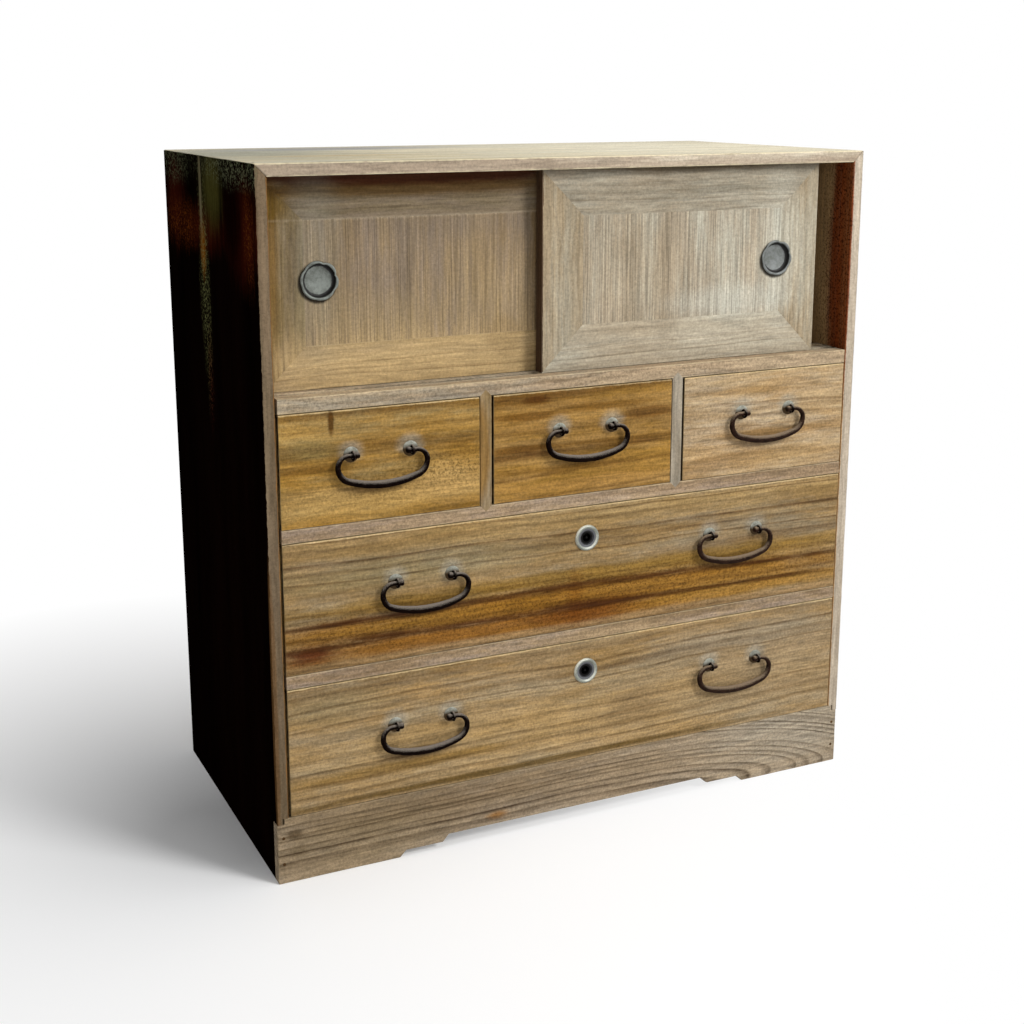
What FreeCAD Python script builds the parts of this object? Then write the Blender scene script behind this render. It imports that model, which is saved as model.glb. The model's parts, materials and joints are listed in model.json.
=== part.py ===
import FreeCAD, Part
import math
import os

os.makedirs("parts", exist_ok=True)
Vector = FreeCAD.Vector

# Small Japanese tansu chest, millimetres.
# +Z is up, the front faces -Y, +X is to the right of someone facing the chest.
# The origin is on the floor, under the middle of the whole box round the chest and its handles.

# ---- Case ----
case_w = 612.0            # outer width
case_h = 640.0            # outer height
case_d = 316.0            # front edge of the boards to the back of the back boards
side_t = 11.0             # side boards
top_t = 11.0              # top board
back_t = 7.0              # back boards
back_lap = 5.0            # how far the back boards lap into rebates round the case
back_count = 4            # vertical back boards
bottom_t = 9.0            # board under the lowest drawer
dust_t = 8.0              # boards between the drawers and under the cabinet
dado = 4.0                # depth of the housings in the side boards
divider_t = 11.0          # uprights between the small drawers

# ---- Front strips ----
rail_t = 12.0             # height of the two rails between drawer rows
rail_d = 26.0             # depth of a rail, front to back
sill_t = 13.0             # height of the sill that the doors run on
sill_d = 48.0             # depth of the sill
strip_gap_left = 2.2      # open joint between the strips and the left side board
strip_gap_right = 0.6     # the same on the right
shoulder_d = 14.0         # the strips' ends stop short of the sides for this depth
tongue_t = 3.0            # tongue of the boards behind the strips
tongue_d = 4.0
point_d = 8.0             # depth of the divider's pointed ends in the strips

# ---- Openings, from the bottom up ----
plinth_h = 63.0
large_opening_h = 121.0
small_opening_h = 102.0

# ---- Plinth ----
plinth_t = 12.0
plinth_back_t = 11.0
shoulder_w = 6.8          # the plinth's upper corners are cut in this far
shoulder_h = 5.5
plinth_gap = 1.6          # open joint at those corners
foot_w = 117.0            # flat foot at each end
foot_step_w = 37.0        # the first, lower stretch of the cut-out
foot_step_h = 6.0
foot_slope = 6.0          # run of each slanted riser
arch_h = 12.8             # full height of the cut-out

# ---- Drawers ----
front_t = 12.0            # drawer fronts
panel_side_t = 7.0        # drawer sides
panel_back_t = 7.0        # drawer backs
drawer_bottom_t = 5.0
front_lap = 7.0           # sides and bottom lap this far into the front
bottom_lap = 3.5          # the bottom laps this far under the sides
drawer_lift = 0.4         # running clearance under a drawer
drawer_top_gap = 0.9      # gap above a drawer front
side_drop = 3.0           # the drawer sides are this much lower than the front
back_drop = 7.0           # and the back this much lower
drawer_gap_left = 2.0     # gap at a drawer's left end
drawer_gap_right = 0.6    # gap at its right end
drawer_rear_gap = 1.0     # a closed drawer stops this far from the back boards

# ---- Sliding doors ----
door_t = 12.0
door_recess = 13.0        # front door's face behind the case's front
door_gap = 4.5            # between the two doors
door_w = 301.0
door_end_gap = 0.5        # closed door to the side board
door_open = 32.0          # how far the front door stands open from the right side
door_shoulder_gap = 0.5   # door edges to sill and top board
door_tongue_t = 7.0       # tongue that runs in the grooves
groove_play = 0.5         # each side of the tongue
sill_groove_h = 2.6
sill_tongue_play = 0.4    # under the lower tongue
top_groove_h = 6.5
top_tongue_h = 3.6        # reach of the upper tongue into the top board
left_frame_w = 38.0       # mitred border of the left door
right_frame_w = 42.0      # mitred border of the right door
panel_tongue_t = 4.0      # tongue round the door panel
panel_tongue_d = 4.0

# ---- Door pulls ----
pull_inset_left = 51.5    # left pull's centre from its door's outer edge
pull_inset_right = 46.0   # and the right one's
pull_rise = 2.0           # pull centres above the middle of a door
pull_rim_r = 17.5
pull_rim_t = 1.3
pull_cup_r = 14.2         # inside of the cup
pull_wall = 0.8
pull_depth = 3.6          # inside depth behind the door's face

# ---- Bail handles ----
rod_end_r = 2.0           # rod radius in the eyes
rod_belly_r = 3.1         # rod radius in the middle
swell_power = 3           # the rod thickens late, towards the belly
eye_half = 27.5           # half the distance between a handle's eyes
tip_in = 5.6              # a rod's tip past its eye, towards the middle
eye_to_bend = 4.0         # straight rod past the eye, before the bend
bend_r = 10.0             # outward and downward bend
turn_r = 13.4             # lower corner
belly_rise = 19.0         # slope of the belly where it meets the corner, degrees
bend_steps = 6            # sections along the bend, the corner and half the belly
turn_steps = 5
belly_steps = 6
eye_wire_r = 1.1
eye_play = 0.4            # rod to eye
plate_r = 7.0             # round plate behind each eye
plate_t = 0.8
prong_l = 7.0             # bent-over tails inside the drawer
prong_t = 0.9
shank_play = 0.1

# The handles were set by hand, so their places differ a little.
# Small drawers: a handle's middle to the right of its front's middle, and its eyes above it.
small_bails = {"small_left": (-1.3, 10.6), "small_middle": (0.9, 12.6), "small_right": (0.0, 11.2)}
# Large drawers, left and right handle: its middle from that end of the front, its eyes above the middle.
upper_bails = [(131.0, 13.6), (126.6, 15.0)]
lower_bails = [(128.5, 10.2), (122.4, 11.2)]

# ---- Locks ----
lock_x = 4.0              # lock centre, right of the chest's middle
lock_drop = 31.5          # lock centre below the top of the opening
ring_r = 12.5             # escutcheon ring
ring_bore_r = 7.9
ring_t = 2.3
boss_play = 0.2           # lock boss inside the ring and the front
boss_recess = 0.6         # boss below the drawer front's face
keyhole_r = 4.3
keyhole_d = 7.0
key_pin_r = 1.1
case_plate_w = 42.0       # lock case
case_plate_below = 16.0   # case below the lock's centre
case_plate_t = 8.0
case_let_in = 5.0         # how far the case is let into the front
bolt_w = 14.0
bolt_t = 4.0
bolt_l = 20.0
bolt_play = 0.3
bolt_travel = 7.0
bolt_end_room = 1.0       # room above a raised bolt

# ---- Wooden pegs ----
peg_r = 1.5
peg_grip = 14.0           # how far a peg runs into the second board
peg_front = 20.0          # first and last peg from the front and back edges
peg_rows = (0.0, 0.5, 1.0)        # shares of the way from the first peg to the last
plinth_peg_heights = (0.3, 0.7)   # shares of the plinth's height

# ---- Places worked out from the sizes ----
eye_ring_r = rod_end_r + eye_play + eye_wire_r
eye_outer_r = eye_ring_r + eye_wire_r
eye_stand = plate_t + eye_outer_r
handle_proud = eye_stand + eye_outer_r

x_left = -case_w / 2
x_right = case_w / 2
in_left = x_left + side_t
in_right = x_right - side_t
front_y = -(case_d + handle_proud) / 2 + handle_proud
back_y = front_y + case_d
back_in_y = back_y - back_t

z_lower = plinth_h
z_rail_lower = z_lower + large_opening_h
z_upper = z_rail_lower + rail_t
z_rail_upper = z_upper + large_opening_h
z_small = z_rail_upper + rail_t
z_sill = z_small + small_opening_h
z_cabinet = z_sill + sill_t
z_top = case_h - top_t

bay_w = (in_right - in_left - 2 * divider_t) / 3
drawer_rear_y = back_in_y - drawer_rear_gap
door_pitch = door_t + door_gap
door_z0 = z_cabinet + door_shoulder_gap
door_z1 = z_top - door_shoulder_gap
pull_z = (door_z0 + door_z1) / 2 + pull_rise


def block(x0, x1, y0, y1, z0, z1):
    return Part.makeBox(x1 - x0, y1 - y0, z1 - z0, Vector(x0, y0, z0))


def prism_y(points, y0, y1):
    """An outline of (x, z) points, from y0 to y1."""
    corners = [Vector(x, y0, z) for x, z in points]
    face = Part.Face(Part.makePolygon(corners + corners[:1]))
    return face.extrude(Vector(0, y1 - y0, 0))


def prism_x(points, x0, x1):
    """An outline of (y, z) points, from x0 to x1."""
    corners = [Vector(x0, y, z) for y, z in points]
    face = Part.Face(Part.makePolygon(corners + corners[:1]))
    return face.extrude(Vector(x1 - x0, 0, 0))


def rod_y(radius, x, z, y0, y1):
    return Part.makeCylinder(radius, y1 - y0, Vector(x, y0, z), Vector(0, 1, 0))


def save(name, *solids):
    shape = solids[0] if len(solids) == 1 else Part.makeCompound(list(solids))
    shape.exportStep("parts/" + name + ".step")


# ---- Front strips and the boards behind them ----

def front_strip(z0, z1, depth):
    """A rail or sill: housed in the sides, with its front ends stopping short of them."""
    ends = block(in_left - dado, in_right + dado, front_y + shoulder_d, front_y + depth, z0, z1)
    nose_left = in_left + strip_gap_left
    nose_right = in_right - strip_gap_right
    nose = block(nose_left, nose_right, front_y, front_y + shoulder_d, z0, z1)
    return ends.fuse(nose).removeSplitter()


def board_behind(strip_depth, z_face):
    """A board whose top is level with the strip in front, with a tongue into that strip."""
    y0 = front_y + strip_depth
    z_mid = z_face - dust_t / 2
    x0 = in_left - dado
    x1 = in_right + dado
    board = block(x0, x1, y0, back_in_y, z_face - dust_t, z_face)
    tongue = block(x0, x1, y0 - tongue_d, y0, z_mid - tongue_t / 2, z_mid + tongue_t / 2)
    return board.fuse(tongue).removeSplitter()


def divider(x0):
    """An upright between small drawers, with pointed ends let into the strips."""
    y_step = front_y + sill_d
    z_under_floor = z_cabinet - dust_t
    outline = [
        (front_y, z_small),
        (back_in_y, z_small),
        (back_in_y, z_under_floor),
        (y_step, z_under_floor),
        (y_step, z_sill),
        (front_y, z_sill),
    ]
    x1 = x0 + divider_t
    x_mid = (x0 + x1) / 2
    point_h = divider_t / 2
    upper = [(x0, z_sill), (x1, z_sill), (x_mid, z_sill + point_h)]
    lower = [(x0, z_small), (x1, z_small), (x_mid, z_small - point_h)]
    body = prism_x(outline, x0, x1)
    body = body.fuse(prism_y(upper, front_y, front_y + point_d))
    body = body.fuse(prism_y(lower, front_y, front_y + point_d))
    return body.removeSplitter()


# ---- Doors, kept here because the grooves follow them ----

def door_front_y(is_front):
    return front_y + door_recess + (0 if is_front else door_pitch)


def door_tongue_y(is_front):
    y0 = door_front_y(is_front) + (door_t - door_tongue_t) / 2
    return y0, y0 + door_tongue_t


def grooves(x0, x1, z0, z1):
    """The two grooves that the doors run in."""
    cuts = []
    for is_front in (True, False):
        y0, y1 = door_tongue_y(is_front)
        cuts.append(block(x0, x1, y0 - groove_play, y1 + groove_play, z0, z1))
    return cuts


# ---- Case boards ----

def side_board(sign):
    """A side board with a mitred top and a notch for the plinth; sign is -1 on the left."""
    outer = sign * case_w / 2
    inner = outer - sign * side_t
    outline = [(outer, 0), (outer, case_h), (inner, z_top), (inner, 0)]
    board = prism_y(outline, front_y, back_y)
    notch_low = [(outer, 0), (inner, 0), (inner, plinth_h - shoulder_h), (outer, plinth_h - shoulder_h)]
    slot = outer - sign * (shoulder_w - plinth_gap)
    notch_high = [(slot, 0), (inner, 0), (inner, plinth_h), (slot, plinth_h)]
    y_notch = front_y + plinth_t
    return board.cut([prism_y(notch_low, front_y, y_notch), prism_y(notch_high, front_y, y_notch)])


def top_board():
    outline = [(x_left, case_h), (x_right, case_h), (in_right, z_top), (in_left, z_top)]
    return prism_y(outline, front_y, back_y).cut(grooves(in_left, in_right, z_top, z_top + top_groove_h))


def foot_outline(x0, x1, z_low):
    """Lower edge of a plinth from right to left: two feet and a stepped cut-out."""
    step_in = foot_w + foot_slope + foot_step_w
    half = [
        (0, 0),
        (foot_w, 0),
        (foot_w + foot_slope, foot_step_h),
        (step_in, foot_step_h),
        (step_in + foot_slope, arch_h),
    ]
    left = [(x0 + run, z_low + rise) for run, rise in half]
    right = [(x1 - run, z_low + rise) for run, rise in half]
    return right + left[::-1]


def plinth_front():
    shoulder_z = plinth_h - shoulder_h
    upper = [
        (x_left, shoulder_z),
        (x_left + shoulder_w, shoulder_z),
        (x_left + shoulder_w, plinth_h),
        (x_right - shoulder_w, plinth_h),
        (x_right - shoulder_w, shoulder_z),
        (x_right, shoulder_z),
    ]
    return prism_y(upper + foot_outline(x_left, x_right, 0), front_y, front_y + plinth_t)


def plinth_back():
    """The rear plinth fills between the side boards, with feet that end level with the front's."""
    z1 = plinth_h - bottom_t
    upper = [(in_left, z1), (in_right, z1)]
    lower = foot_outline(x_left, x_right, 0)
    lower[0] = (in_right, 0)
    lower[-1] = (in_left, 0)
    return prism_y(upper + lower, back_y - plinth_back_t, back_y)


def back_boards():
    x0 = in_left - back_lap
    x1 = in_right + back_lap
    width = (x1 - x0) / back_count
    z0 = plinth_h - bottom_t
    boards = []
    for index in range(back_count):
        left = x0 + index * width
        boards.append(block(left, left + width, back_in_y, back_y, z0, z_top + back_lap))
    return boards


# ---- Pegs ----

def pegs():
    """Wooden pegs through the sides, top, plinth, shelves and back."""
    found = []
    span = case_d - back_t - 2 * peg_front
    rows_y = [front_y + peg_front + span * share for share in peg_rows]
    shelf_z = [plinth_h - bottom_t / 2]
    shelf_z += [face - dust_t / 2 for face in (z_upper, z_small, z_cabinet)]
    side_length = side_t + peg_grip
    for y in rows_y:
        for z in shelf_z:
            found.append(Part.makeCylinder(peg_r, side_length, Vector(x_left, y, z), Vector(1, 0, 0)))
            found.append(Part.makeCylinder(peg_r, side_length, Vector(x_right, y, z), Vector(-1, 0, 0)))
        for x in (x_left + side_t / 2, x_right - side_t / 2):
            top_length = top_t + peg_grip
            found.append(Part.makeCylinder(peg_r, top_length, Vector(x, y, case_h), Vector(0, 0, -1)))
    for x in (x_left + side_t / 2, x_right - side_t / 2):
        for share in plinth_peg_heights:
            z = share * plinth_h
            found.append(rod_y(peg_r, x, z, front_y, front_y + plinth_t + peg_grip))
    for x0 in divider_lefts:
        x = x0 + divider_t / 2
        for y in (rows_y[1], rows_y[2]):
            length = dust_t + peg_grip
            found.append(Part.makeCylinder(peg_r, length, Vector(x, y, z_cabinet), Vector(0, 0, -1)))
            found.append(Part.makeCylinder(peg_r, length, Vector(x, y, z_small - dust_t), Vector(0, 0, 1)))
    width = (in_right - in_left) / back_count
    for index in range(back_count):
        x = in_left + (index + 0.5) * width
        for z in shelf_z:
            found.append(rod_y(peg_r, x, z, back_y - back_t - peg_grip, back_y))
    return found


# ---- Doors ----

def door(name, is_front, frame_w, x0, pull_x):
    """A flush panel in a mitred border, with a tongue above and below and a round pull."""
    x1 = x0 + door_w
    y0 = door_front_y(is_front)
    y1 = y0 + door_t
    tongue_y0, tongue_y1 = door_tongue_y(is_front)
    tongue_z0 = z_cabinet - sill_groove_h + sill_tongue_play
    tongue_z1 = z_top + top_tongue_h
    slab = block(x0, x1, y0, y1, door_z0, door_z1)
    slab = slab.fuse(block(x0, x1, tongue_y0, tongue_y1, tongue_z0, tongue_z1)).removeSplitter()

    ix0 = x0 + frame_w
    ix1 = x1 - frame_w
    iz0 = door_z0 + frame_w
    iz1 = door_z1 - frame_w
    mid_y = (y0 + y1) / 2
    panel = block(ix0, ix1, y0, y1, iz0, iz1)
    panel = panel.fuse(block(
        ix0 - panel_tongue_d, ix1 + panel_tongue_d,
        mid_y - panel_tongue_t / 2, mid_y + panel_tongue_t / 2,
        iz0 - panel_tongue_d, iz1 + panel_tongue_d)).removeSplitter()

    cup_r = pull_cup_r + pull_wall
    cup_back = y0 + pull_depth + pull_wall
    cup_hole = rod_y(cup_r, pull_x, pull_z, y0, cup_back)

    # The mitres run at 45 degrees through the corners of the panel.
    low = tongue_z0 - door_z0
    high = tongue_z1 - door_z1
    corner_bl = (x0 + low, tongue_z0)
    corner_br = (x1 - low, tongue_z0)
    corner_tl = (x0 - high, tongue_z1)
    corner_tr = (x1 + high, tongue_z1)
    inner = [(ix0, iz0), (ix1, iz0), (ix1, iz1), (ix0, iz1)]
    members = [
        [corner_bl, corner_br, inner[1], inner[0]],
        [corner_br, corner_tr, inner[2], inner[1]],
        [corner_tr, corner_tl, inner[3], inner[2]],
        [corner_tl, corner_bl, inner[0], inner[3]],
    ]
    border = slab.cut([panel, cup_hole])
    pieces = [border.common(prism_y(outline, y0, y1)) for outline in members]
    pieces = [piece.Solids[0] for piece in pieces]

    pull = rod_y(pull_rim_r, pull_x, pull_z, y0 - pull_rim_t, y0)
    pull = pull.fuse(rod_y(cup_r, pull_x, pull_z, y0, cup_back)).removeSplitter()
    pull = pull.cut(rod_y(pull_cup_r, pull_x, pull_z, y0 - pull_rim_t, y0 + pull_depth))

    save(name + "_frame", *pieces)
    save(name + "_panel", panel.cut(cup_hole))
    save(name + "_pull", pull)


# ---- Bail handles ----

def bail_half_path():
    """Points (u, v, slope angle) of half a rod, from its bend to the middle; u outwards, v down."""
    bend_u = eye_half + eye_to_bend
    reach_u = bend_u + bend_r
    rise = math.radians(belly_rise)
    belly_r = turn_r + (reach_u - turn_r) / math.sin(rise)
    corner_u = reach_u - turn_r
    path = []
    for step in range(bend_steps + 1):
        angle = step / bend_steps * math.pi / 2
        path.append((bend_u + bend_r * math.sin(angle), bend_r * (1 - math.cos(angle)), angle))
    turn = math.pi / 2 - rise
    for step in range(1, turn_steps + 1):
        angle = step / turn_steps * turn
        u = corner_u + turn_r * math.cos(angle)
        path.append((u, bend_r + turn_r * math.sin(angle), math.pi / 2 + angle))
    bottom_v = bend_r + turn_r * math.cos(rise) + belly_r * (1 - math.cos(rise))
    for step in range(1, belly_steps + 1):
        angle = rise * (1 - step / belly_steps)
        u = belly_r * math.sin(angle)
        path.append((u, bottom_v - belly_r * (1 - math.cos(angle)), math.pi - angle))
    return path


def rod_radius(share):
    """The rod swells from its bends to the middle of the belly."""
    return rod_end_r + (rod_belly_r - rod_end_r) * math.sin(share * math.pi / 2) ** swell_power


def bail(x, z):
    """A rod with straight ends in the two eyes, bent down into a belly between them."""
    half = bail_half_path()
    y = front_y - eye_stand
    lengths = [0.0]
    for before, after in zip(half, half[1:]):
        lengths.append(lengths[-1] + math.hypot(after[0] - before[0], after[1] - before[1]))
    stations = []
    for (u, v, angle), length in zip(half, lengths):
        stations.append((u, v, angle, rod_radius(length / lengths[-1])))
    rings = []
    for u, v, angle, radius in stations:
        along = Vector(math.cos(angle), 0, -math.sin(angle))
        rings.append(Part.Wire(Part.makeCircle(radius, Vector(x + u, y, z - v), along)))
    for u, v, angle, radius in stations[-2::-1]:
        along = Vector(math.cos(angle), 0, math.sin(angle))
        rings.append(Part.Wire(Part.makeCircle(radius, Vector(x - u, y, z - v), along)))
    tip_u = eye_half - tip_in
    tip_l = tip_in + eye_to_bend
    tips = [Part.makeCylinder(rod_end_r, tip_l, Vector(x + sign * tip_u, y, z), Vector(sign, 0, 0))
            for sign in (-1, 1)]
    return Part.makeLoft(rings, True, False).fuse(tips)


def eye(x, z):
    """A ring with a split tail, clinched inside the drawer."""
    y = front_y - eye_stand
    inside_y = front_y + front_t
    ring = Part.makeTorus(eye_ring_r, eye_wire_r, Vector(x, y, z), Vector(1, 0, 0))
    shank = rod_y(eye_wire_r, x, z, y + eye_ring_r, inside_y + prong_t)
    prongs = block(x - eye_wire_r, x + eye_wire_r, inside_y, inside_y + prong_t, z - prong_l, z + prong_l)
    return ring.fuse([shank, prongs]).removeSplitter()


def plate(x, z):
    disc = rod_y(plate_r, x, z, front_y - plate_t, front_y)
    return disc.cut(rod_y(eye_wire_r + shank_play, x, z, front_y - plate_t, front_y))


# ---- Drawers ----

def drawer_space(bay_x0, bay_x1, z_floor, opening_h):
    """Corners of a drawer front in its opening."""
    x0 = bay_x0 + drawer_gap_left
    x1 = bay_x1 - drawer_gap_right
    return x0, x1, z_floor + drawer_lift, z_floor + opening_h - drawer_top_gap


def drawer(name, space, bails, front_cuts):
    """Front, sides and back, bottom, and the handles of one drawer; bails maps names to (x, z)."""
    x0, x1, z0, z1 = space
    inside_y = front_y + front_t
    lap_y = inside_y - front_lap
    side_top = z1 - side_drop
    back_top = z1 - back_drop
    left = block(x0, x0 + panel_side_t, lap_y, drawer_rear_y, z0, side_top)
    right = block(x1 - panel_side_t, x1, lap_y, drawer_rear_y, z0, side_top)
    bottom = block(x0 + bottom_lap, x1 - bottom_lap, lap_y, drawer_rear_y, z0, z0 + drawer_bottom_t)
    back_x0 = x0 + panel_side_t
    back_x1 = x1 - panel_side_t
    rear_y0 = drawer_rear_y - panel_back_t
    back = block(back_x0, back_x1, rear_y0, drawer_rear_y, z0 + drawer_bottom_t, back_top)
    front = block(x0, x1, front_y, inside_y, z0, z1)
    eyes = [(x + sign * eye_half, z) for x, z in bails.values() for sign in (-1, 1)]
    shank_holes = [rod_y(eye_wire_r + shank_play, x, z, front_y, inside_y) for x, z in eyes]
    front = front.cut([left, right, bottom] + shank_holes + front_cuts)

    save(name + "_front", front)
    save(name + "_box", left.cut(bottom), right.cut(bottom), back)
    save(name + "_bottom", bottom)
    save(name + "_plates", *[plate(x, z) for x, z in eyes])
    save(name + "_eyes", *[eye(x, z) for x, z in eyes])
    for bail_name, (x, z) in bails.items():
        save(bail_name, bail(x, z))


def lock_bolt(z_opening_top):
    """The bolt, drawn back so that its head is just under the case's top."""
    z1 = z_opening_top - drawer_top_gap - bolt_play
    y1 = front_y + front_t
    return block(lock_x - bolt_w / 2, lock_x + bolt_w / 2, y1 - bolt_t, y1, z1 - bolt_l, z1)


def bolt_room(z_opening_top, reach):
    """Clearance round the bolt, from its foot up to a height above the opening's top."""
    y1 = front_y + front_t
    half = bolt_w / 2 + bolt_play
    z0 = z_opening_top - drawer_top_gap - 2 * bolt_play - bolt_l
    return block(lock_x - half, lock_x + half, y1 - bolt_t - bolt_play, y1 + bolt_play,
                 z0, z_opening_top + reach)


def lock(name, z_opening_top):
    """Escutcheon, case and bolt; returns the cuts that they need in the drawer front."""
    z = z_opening_top - lock_drop
    z_front_top = z_opening_top - drawer_top_gap
    inside_y = front_y + front_t
    case_y0 = inside_y - case_let_in
    case_x0 = lock_x - case_plate_w / 2
    case_x1 = lock_x + case_plate_w / 2
    case_z0 = z - case_plate_below
    body = block(case_x0, case_x1, case_y0, case_y0 + case_plate_t, case_z0, z_front_top)
    boss_r = ring_bore_r - boss_play
    boss_y = front_y + boss_recess
    body = body.fuse(rod_y(boss_r, lock_x, z, boss_y, case_y0)).removeSplitter()
    keyway = rod_y(keyhole_r, lock_x, z, boss_y, boss_y + keyhole_d)
    pin = rod_y(key_pin_r, lock_x, z, boss_y, boss_y + keyhole_d)
    body = body.cut([keyway.cut(pin), bolt_room(z_opening_top, 0)])
    ring = rod_y(ring_r, lock_x, z, front_y - ring_t, front_y)
    ring = ring.cut(rod_y(ring_bore_r, lock_x, z, front_y - ring_t, front_y))
    save(name + "_escutcheon", ring)
    save(name + "_lock_case", body)
    save(name + "_lock_bolt", lock_bolt(z_opening_top))
    seat = block(case_x0, case_x1, case_y0, inside_y, case_z0, z_front_top)
    return [seat, rod_y(ring_bore_r, lock_x, z, front_y, inside_y)]


# ---- Build the case ----

divider_lefts = [in_left + bay_w, in_left + 2 * bay_w + divider_t]
all_pegs = pegs()
dividers = [divider(x0) for x0 in divider_lefts]
backs = back_boards()

rail_lower_board = board_behind(rail_d, z_upper)
rail_upper_board = board_behind(rail_d, z_small)
cabinet_board = board_behind(sill_d, z_cabinet)
bottom_board = block(in_left - dado, in_right + dado, front_y + plinth_t, back_in_y,
                     plinth_h - bottom_t, plinth_h)
mortises = [bolt_room(z, bolt_travel + bolt_end_room) for z in (z_rail_lower, z_rail_upper)]
sill_grooves = grooves(in_left - dado, in_right + dado, z_cabinet - sill_groove_h, z_cabinet)

strips = {
    "rail_lower": front_strip(z_rail_lower, z_upper, rail_d).cut([rail_lower_board, mortises[0]]),
    "rail_upper": front_strip(z_rail_upper, z_small, rail_d).cut([rail_upper_board, mortises[1]] + dividers),
    "sill_track": front_strip(z_sill, z_cabinet, sill_d).cut([cabinet_board] + sill_grooves + dividers),
}
shelves = {
    "bottom_board": bottom_board,
    "dust_board_lower": rail_lower_board,
    "dust_board_upper": rail_upper_board,
    "cabinet_floor": cabinet_board,
}
housed = [front_strip(z_rail_lower, z_upper, rail_d), front_strip(z_rail_upper, z_small, rail_d),
          front_strip(z_sill, z_cabinet, sill_d)] + list(shelves.values())

for node, shape in list(strips.items()) + list(shelves.items()):
    save(node, shape.cut(all_pegs))
for node, sign in (("side_left", -1), ("side_right", 1)):
    save(node, side_board(sign).cut(housed + backs + all_pegs))
save("top_board", top_board().cut(backs + all_pegs))
save("back_boards", *[board.cut(all_pegs) for board in backs])
save("divider_left", dividers[0].cut(all_pegs))
save("divider_right", dividers[1].cut(all_pegs))
save("plinth_front", plinth_front().cut(all_pegs))
save("plinth_back", plinth_back())
save("carcass_pegs", *all_pegs)

# ---- Build the doors ----

left_door_x0 = in_left + door_end_gap
right_door_x0 = in_right - door_open - door_w
left_pull_x = left_door_x0 + pull_inset_left
right_pull_x = right_door_x0 + door_w - pull_inset_right
door("door_left", False, left_frame_w, left_door_x0, left_pull_x)
door("door_right", True, right_frame_w, right_door_x0, right_pull_x)

# ---- Build the drawers ----

for index, (name, (aside, rise)) in enumerate(small_bails.items()):
    bay_x0 = in_left + index * (bay_w + divider_t)
    space = drawer_space(bay_x0, bay_x0 + bay_w, z_small, small_opening_h)
    x = (space[0] + space[1]) / 2 + aside
    bails = {name + "_bail": (x, (space[2] + space[3]) / 2 + rise)}
    drawer(name, space, bails, [])

for name, z_floor, places in (("upper", z_upper, upper_bails), ("lower", z_lower, lower_bails)):
    space = drawer_space(in_left, in_right, z_floor, large_opening_h)
    mid_z = (space[2] + space[3]) / 2
    (left_inset, left_rise), (right_inset, right_rise) = places
    bails = {
        name + "_bail_left": (space[0] + left_inset, mid_z + left_rise),
        name + "_bail_right": (space[1] - right_inset, mid_z + right_rise),
    }
    drawer(name, space, bails, lock(name, z_floor + large_opening_h))
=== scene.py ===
import json
import math
import bmesh
import bpy
from mathutils import Matrix, Vector, noise

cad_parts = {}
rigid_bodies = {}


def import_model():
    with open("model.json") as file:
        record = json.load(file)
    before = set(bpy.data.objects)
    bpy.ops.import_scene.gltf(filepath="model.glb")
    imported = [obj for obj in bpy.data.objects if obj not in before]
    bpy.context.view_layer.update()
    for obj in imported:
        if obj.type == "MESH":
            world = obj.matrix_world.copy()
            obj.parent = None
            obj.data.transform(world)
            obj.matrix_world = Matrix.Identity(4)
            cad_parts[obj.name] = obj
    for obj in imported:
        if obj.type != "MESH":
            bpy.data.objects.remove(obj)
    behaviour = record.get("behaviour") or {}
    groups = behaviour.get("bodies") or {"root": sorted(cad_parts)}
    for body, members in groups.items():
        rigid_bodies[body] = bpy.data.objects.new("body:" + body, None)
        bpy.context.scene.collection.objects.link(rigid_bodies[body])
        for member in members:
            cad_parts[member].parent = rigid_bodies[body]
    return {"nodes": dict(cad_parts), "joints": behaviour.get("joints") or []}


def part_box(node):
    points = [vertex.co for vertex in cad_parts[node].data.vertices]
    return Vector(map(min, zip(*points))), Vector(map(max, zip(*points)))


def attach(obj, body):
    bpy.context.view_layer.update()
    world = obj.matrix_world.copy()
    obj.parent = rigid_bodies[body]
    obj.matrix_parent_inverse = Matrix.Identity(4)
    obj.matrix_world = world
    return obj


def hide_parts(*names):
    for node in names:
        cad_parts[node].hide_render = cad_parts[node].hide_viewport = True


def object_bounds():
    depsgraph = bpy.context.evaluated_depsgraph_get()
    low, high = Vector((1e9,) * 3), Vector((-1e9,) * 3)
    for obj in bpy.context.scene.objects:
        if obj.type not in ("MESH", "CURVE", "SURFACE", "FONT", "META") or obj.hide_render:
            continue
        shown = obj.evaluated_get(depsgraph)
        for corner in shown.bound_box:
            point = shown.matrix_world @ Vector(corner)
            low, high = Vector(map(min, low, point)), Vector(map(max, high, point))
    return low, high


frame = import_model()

cad_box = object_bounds()
MM = 0.001

# ---- Side boards ----
# Two softwood boards with their grain upright, planed by hand. Outside they are stained almost black
# and rubbed through along the edges; the front edges are bare, grey-brown and dry. Their mitred
# heads meet the top board and their feet stand behind the plinth.


def linear(code):
    """An sRGB hex colour as linear RGBA."""
    parts = [int(code[i:i + 2], 16) / 255 for i in (1, 3, 5)]
    return tuple(c / 12.92 if c <= 0.04045 else ((c + 0.055) / 1.055) ** 2.4 for c in parts) + (1.0,)


def feed(tree, node, inputs):
    """Sets a node's inputs; each is a value or another node's output."""
    for socket, value in inputs.items():
        if isinstance(value, bpy.types.NodeSocket):
            tree.links.new(value, node.inputs[socket])
        else:
            node.inputs[socket].default_value = value


def add(tree, kind, inputs=None, out=0, **settings):
    """Adds one shader node with its settings and inputs, and gives one of its outputs."""
    node = tree.nodes.new("ShaderNode" + kind)
    for name, value in settings.items():
        setattr(node, name, value)
    feed(tree, node, inputs or {})
    return node.outputs[out] if node.outputs else None


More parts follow.
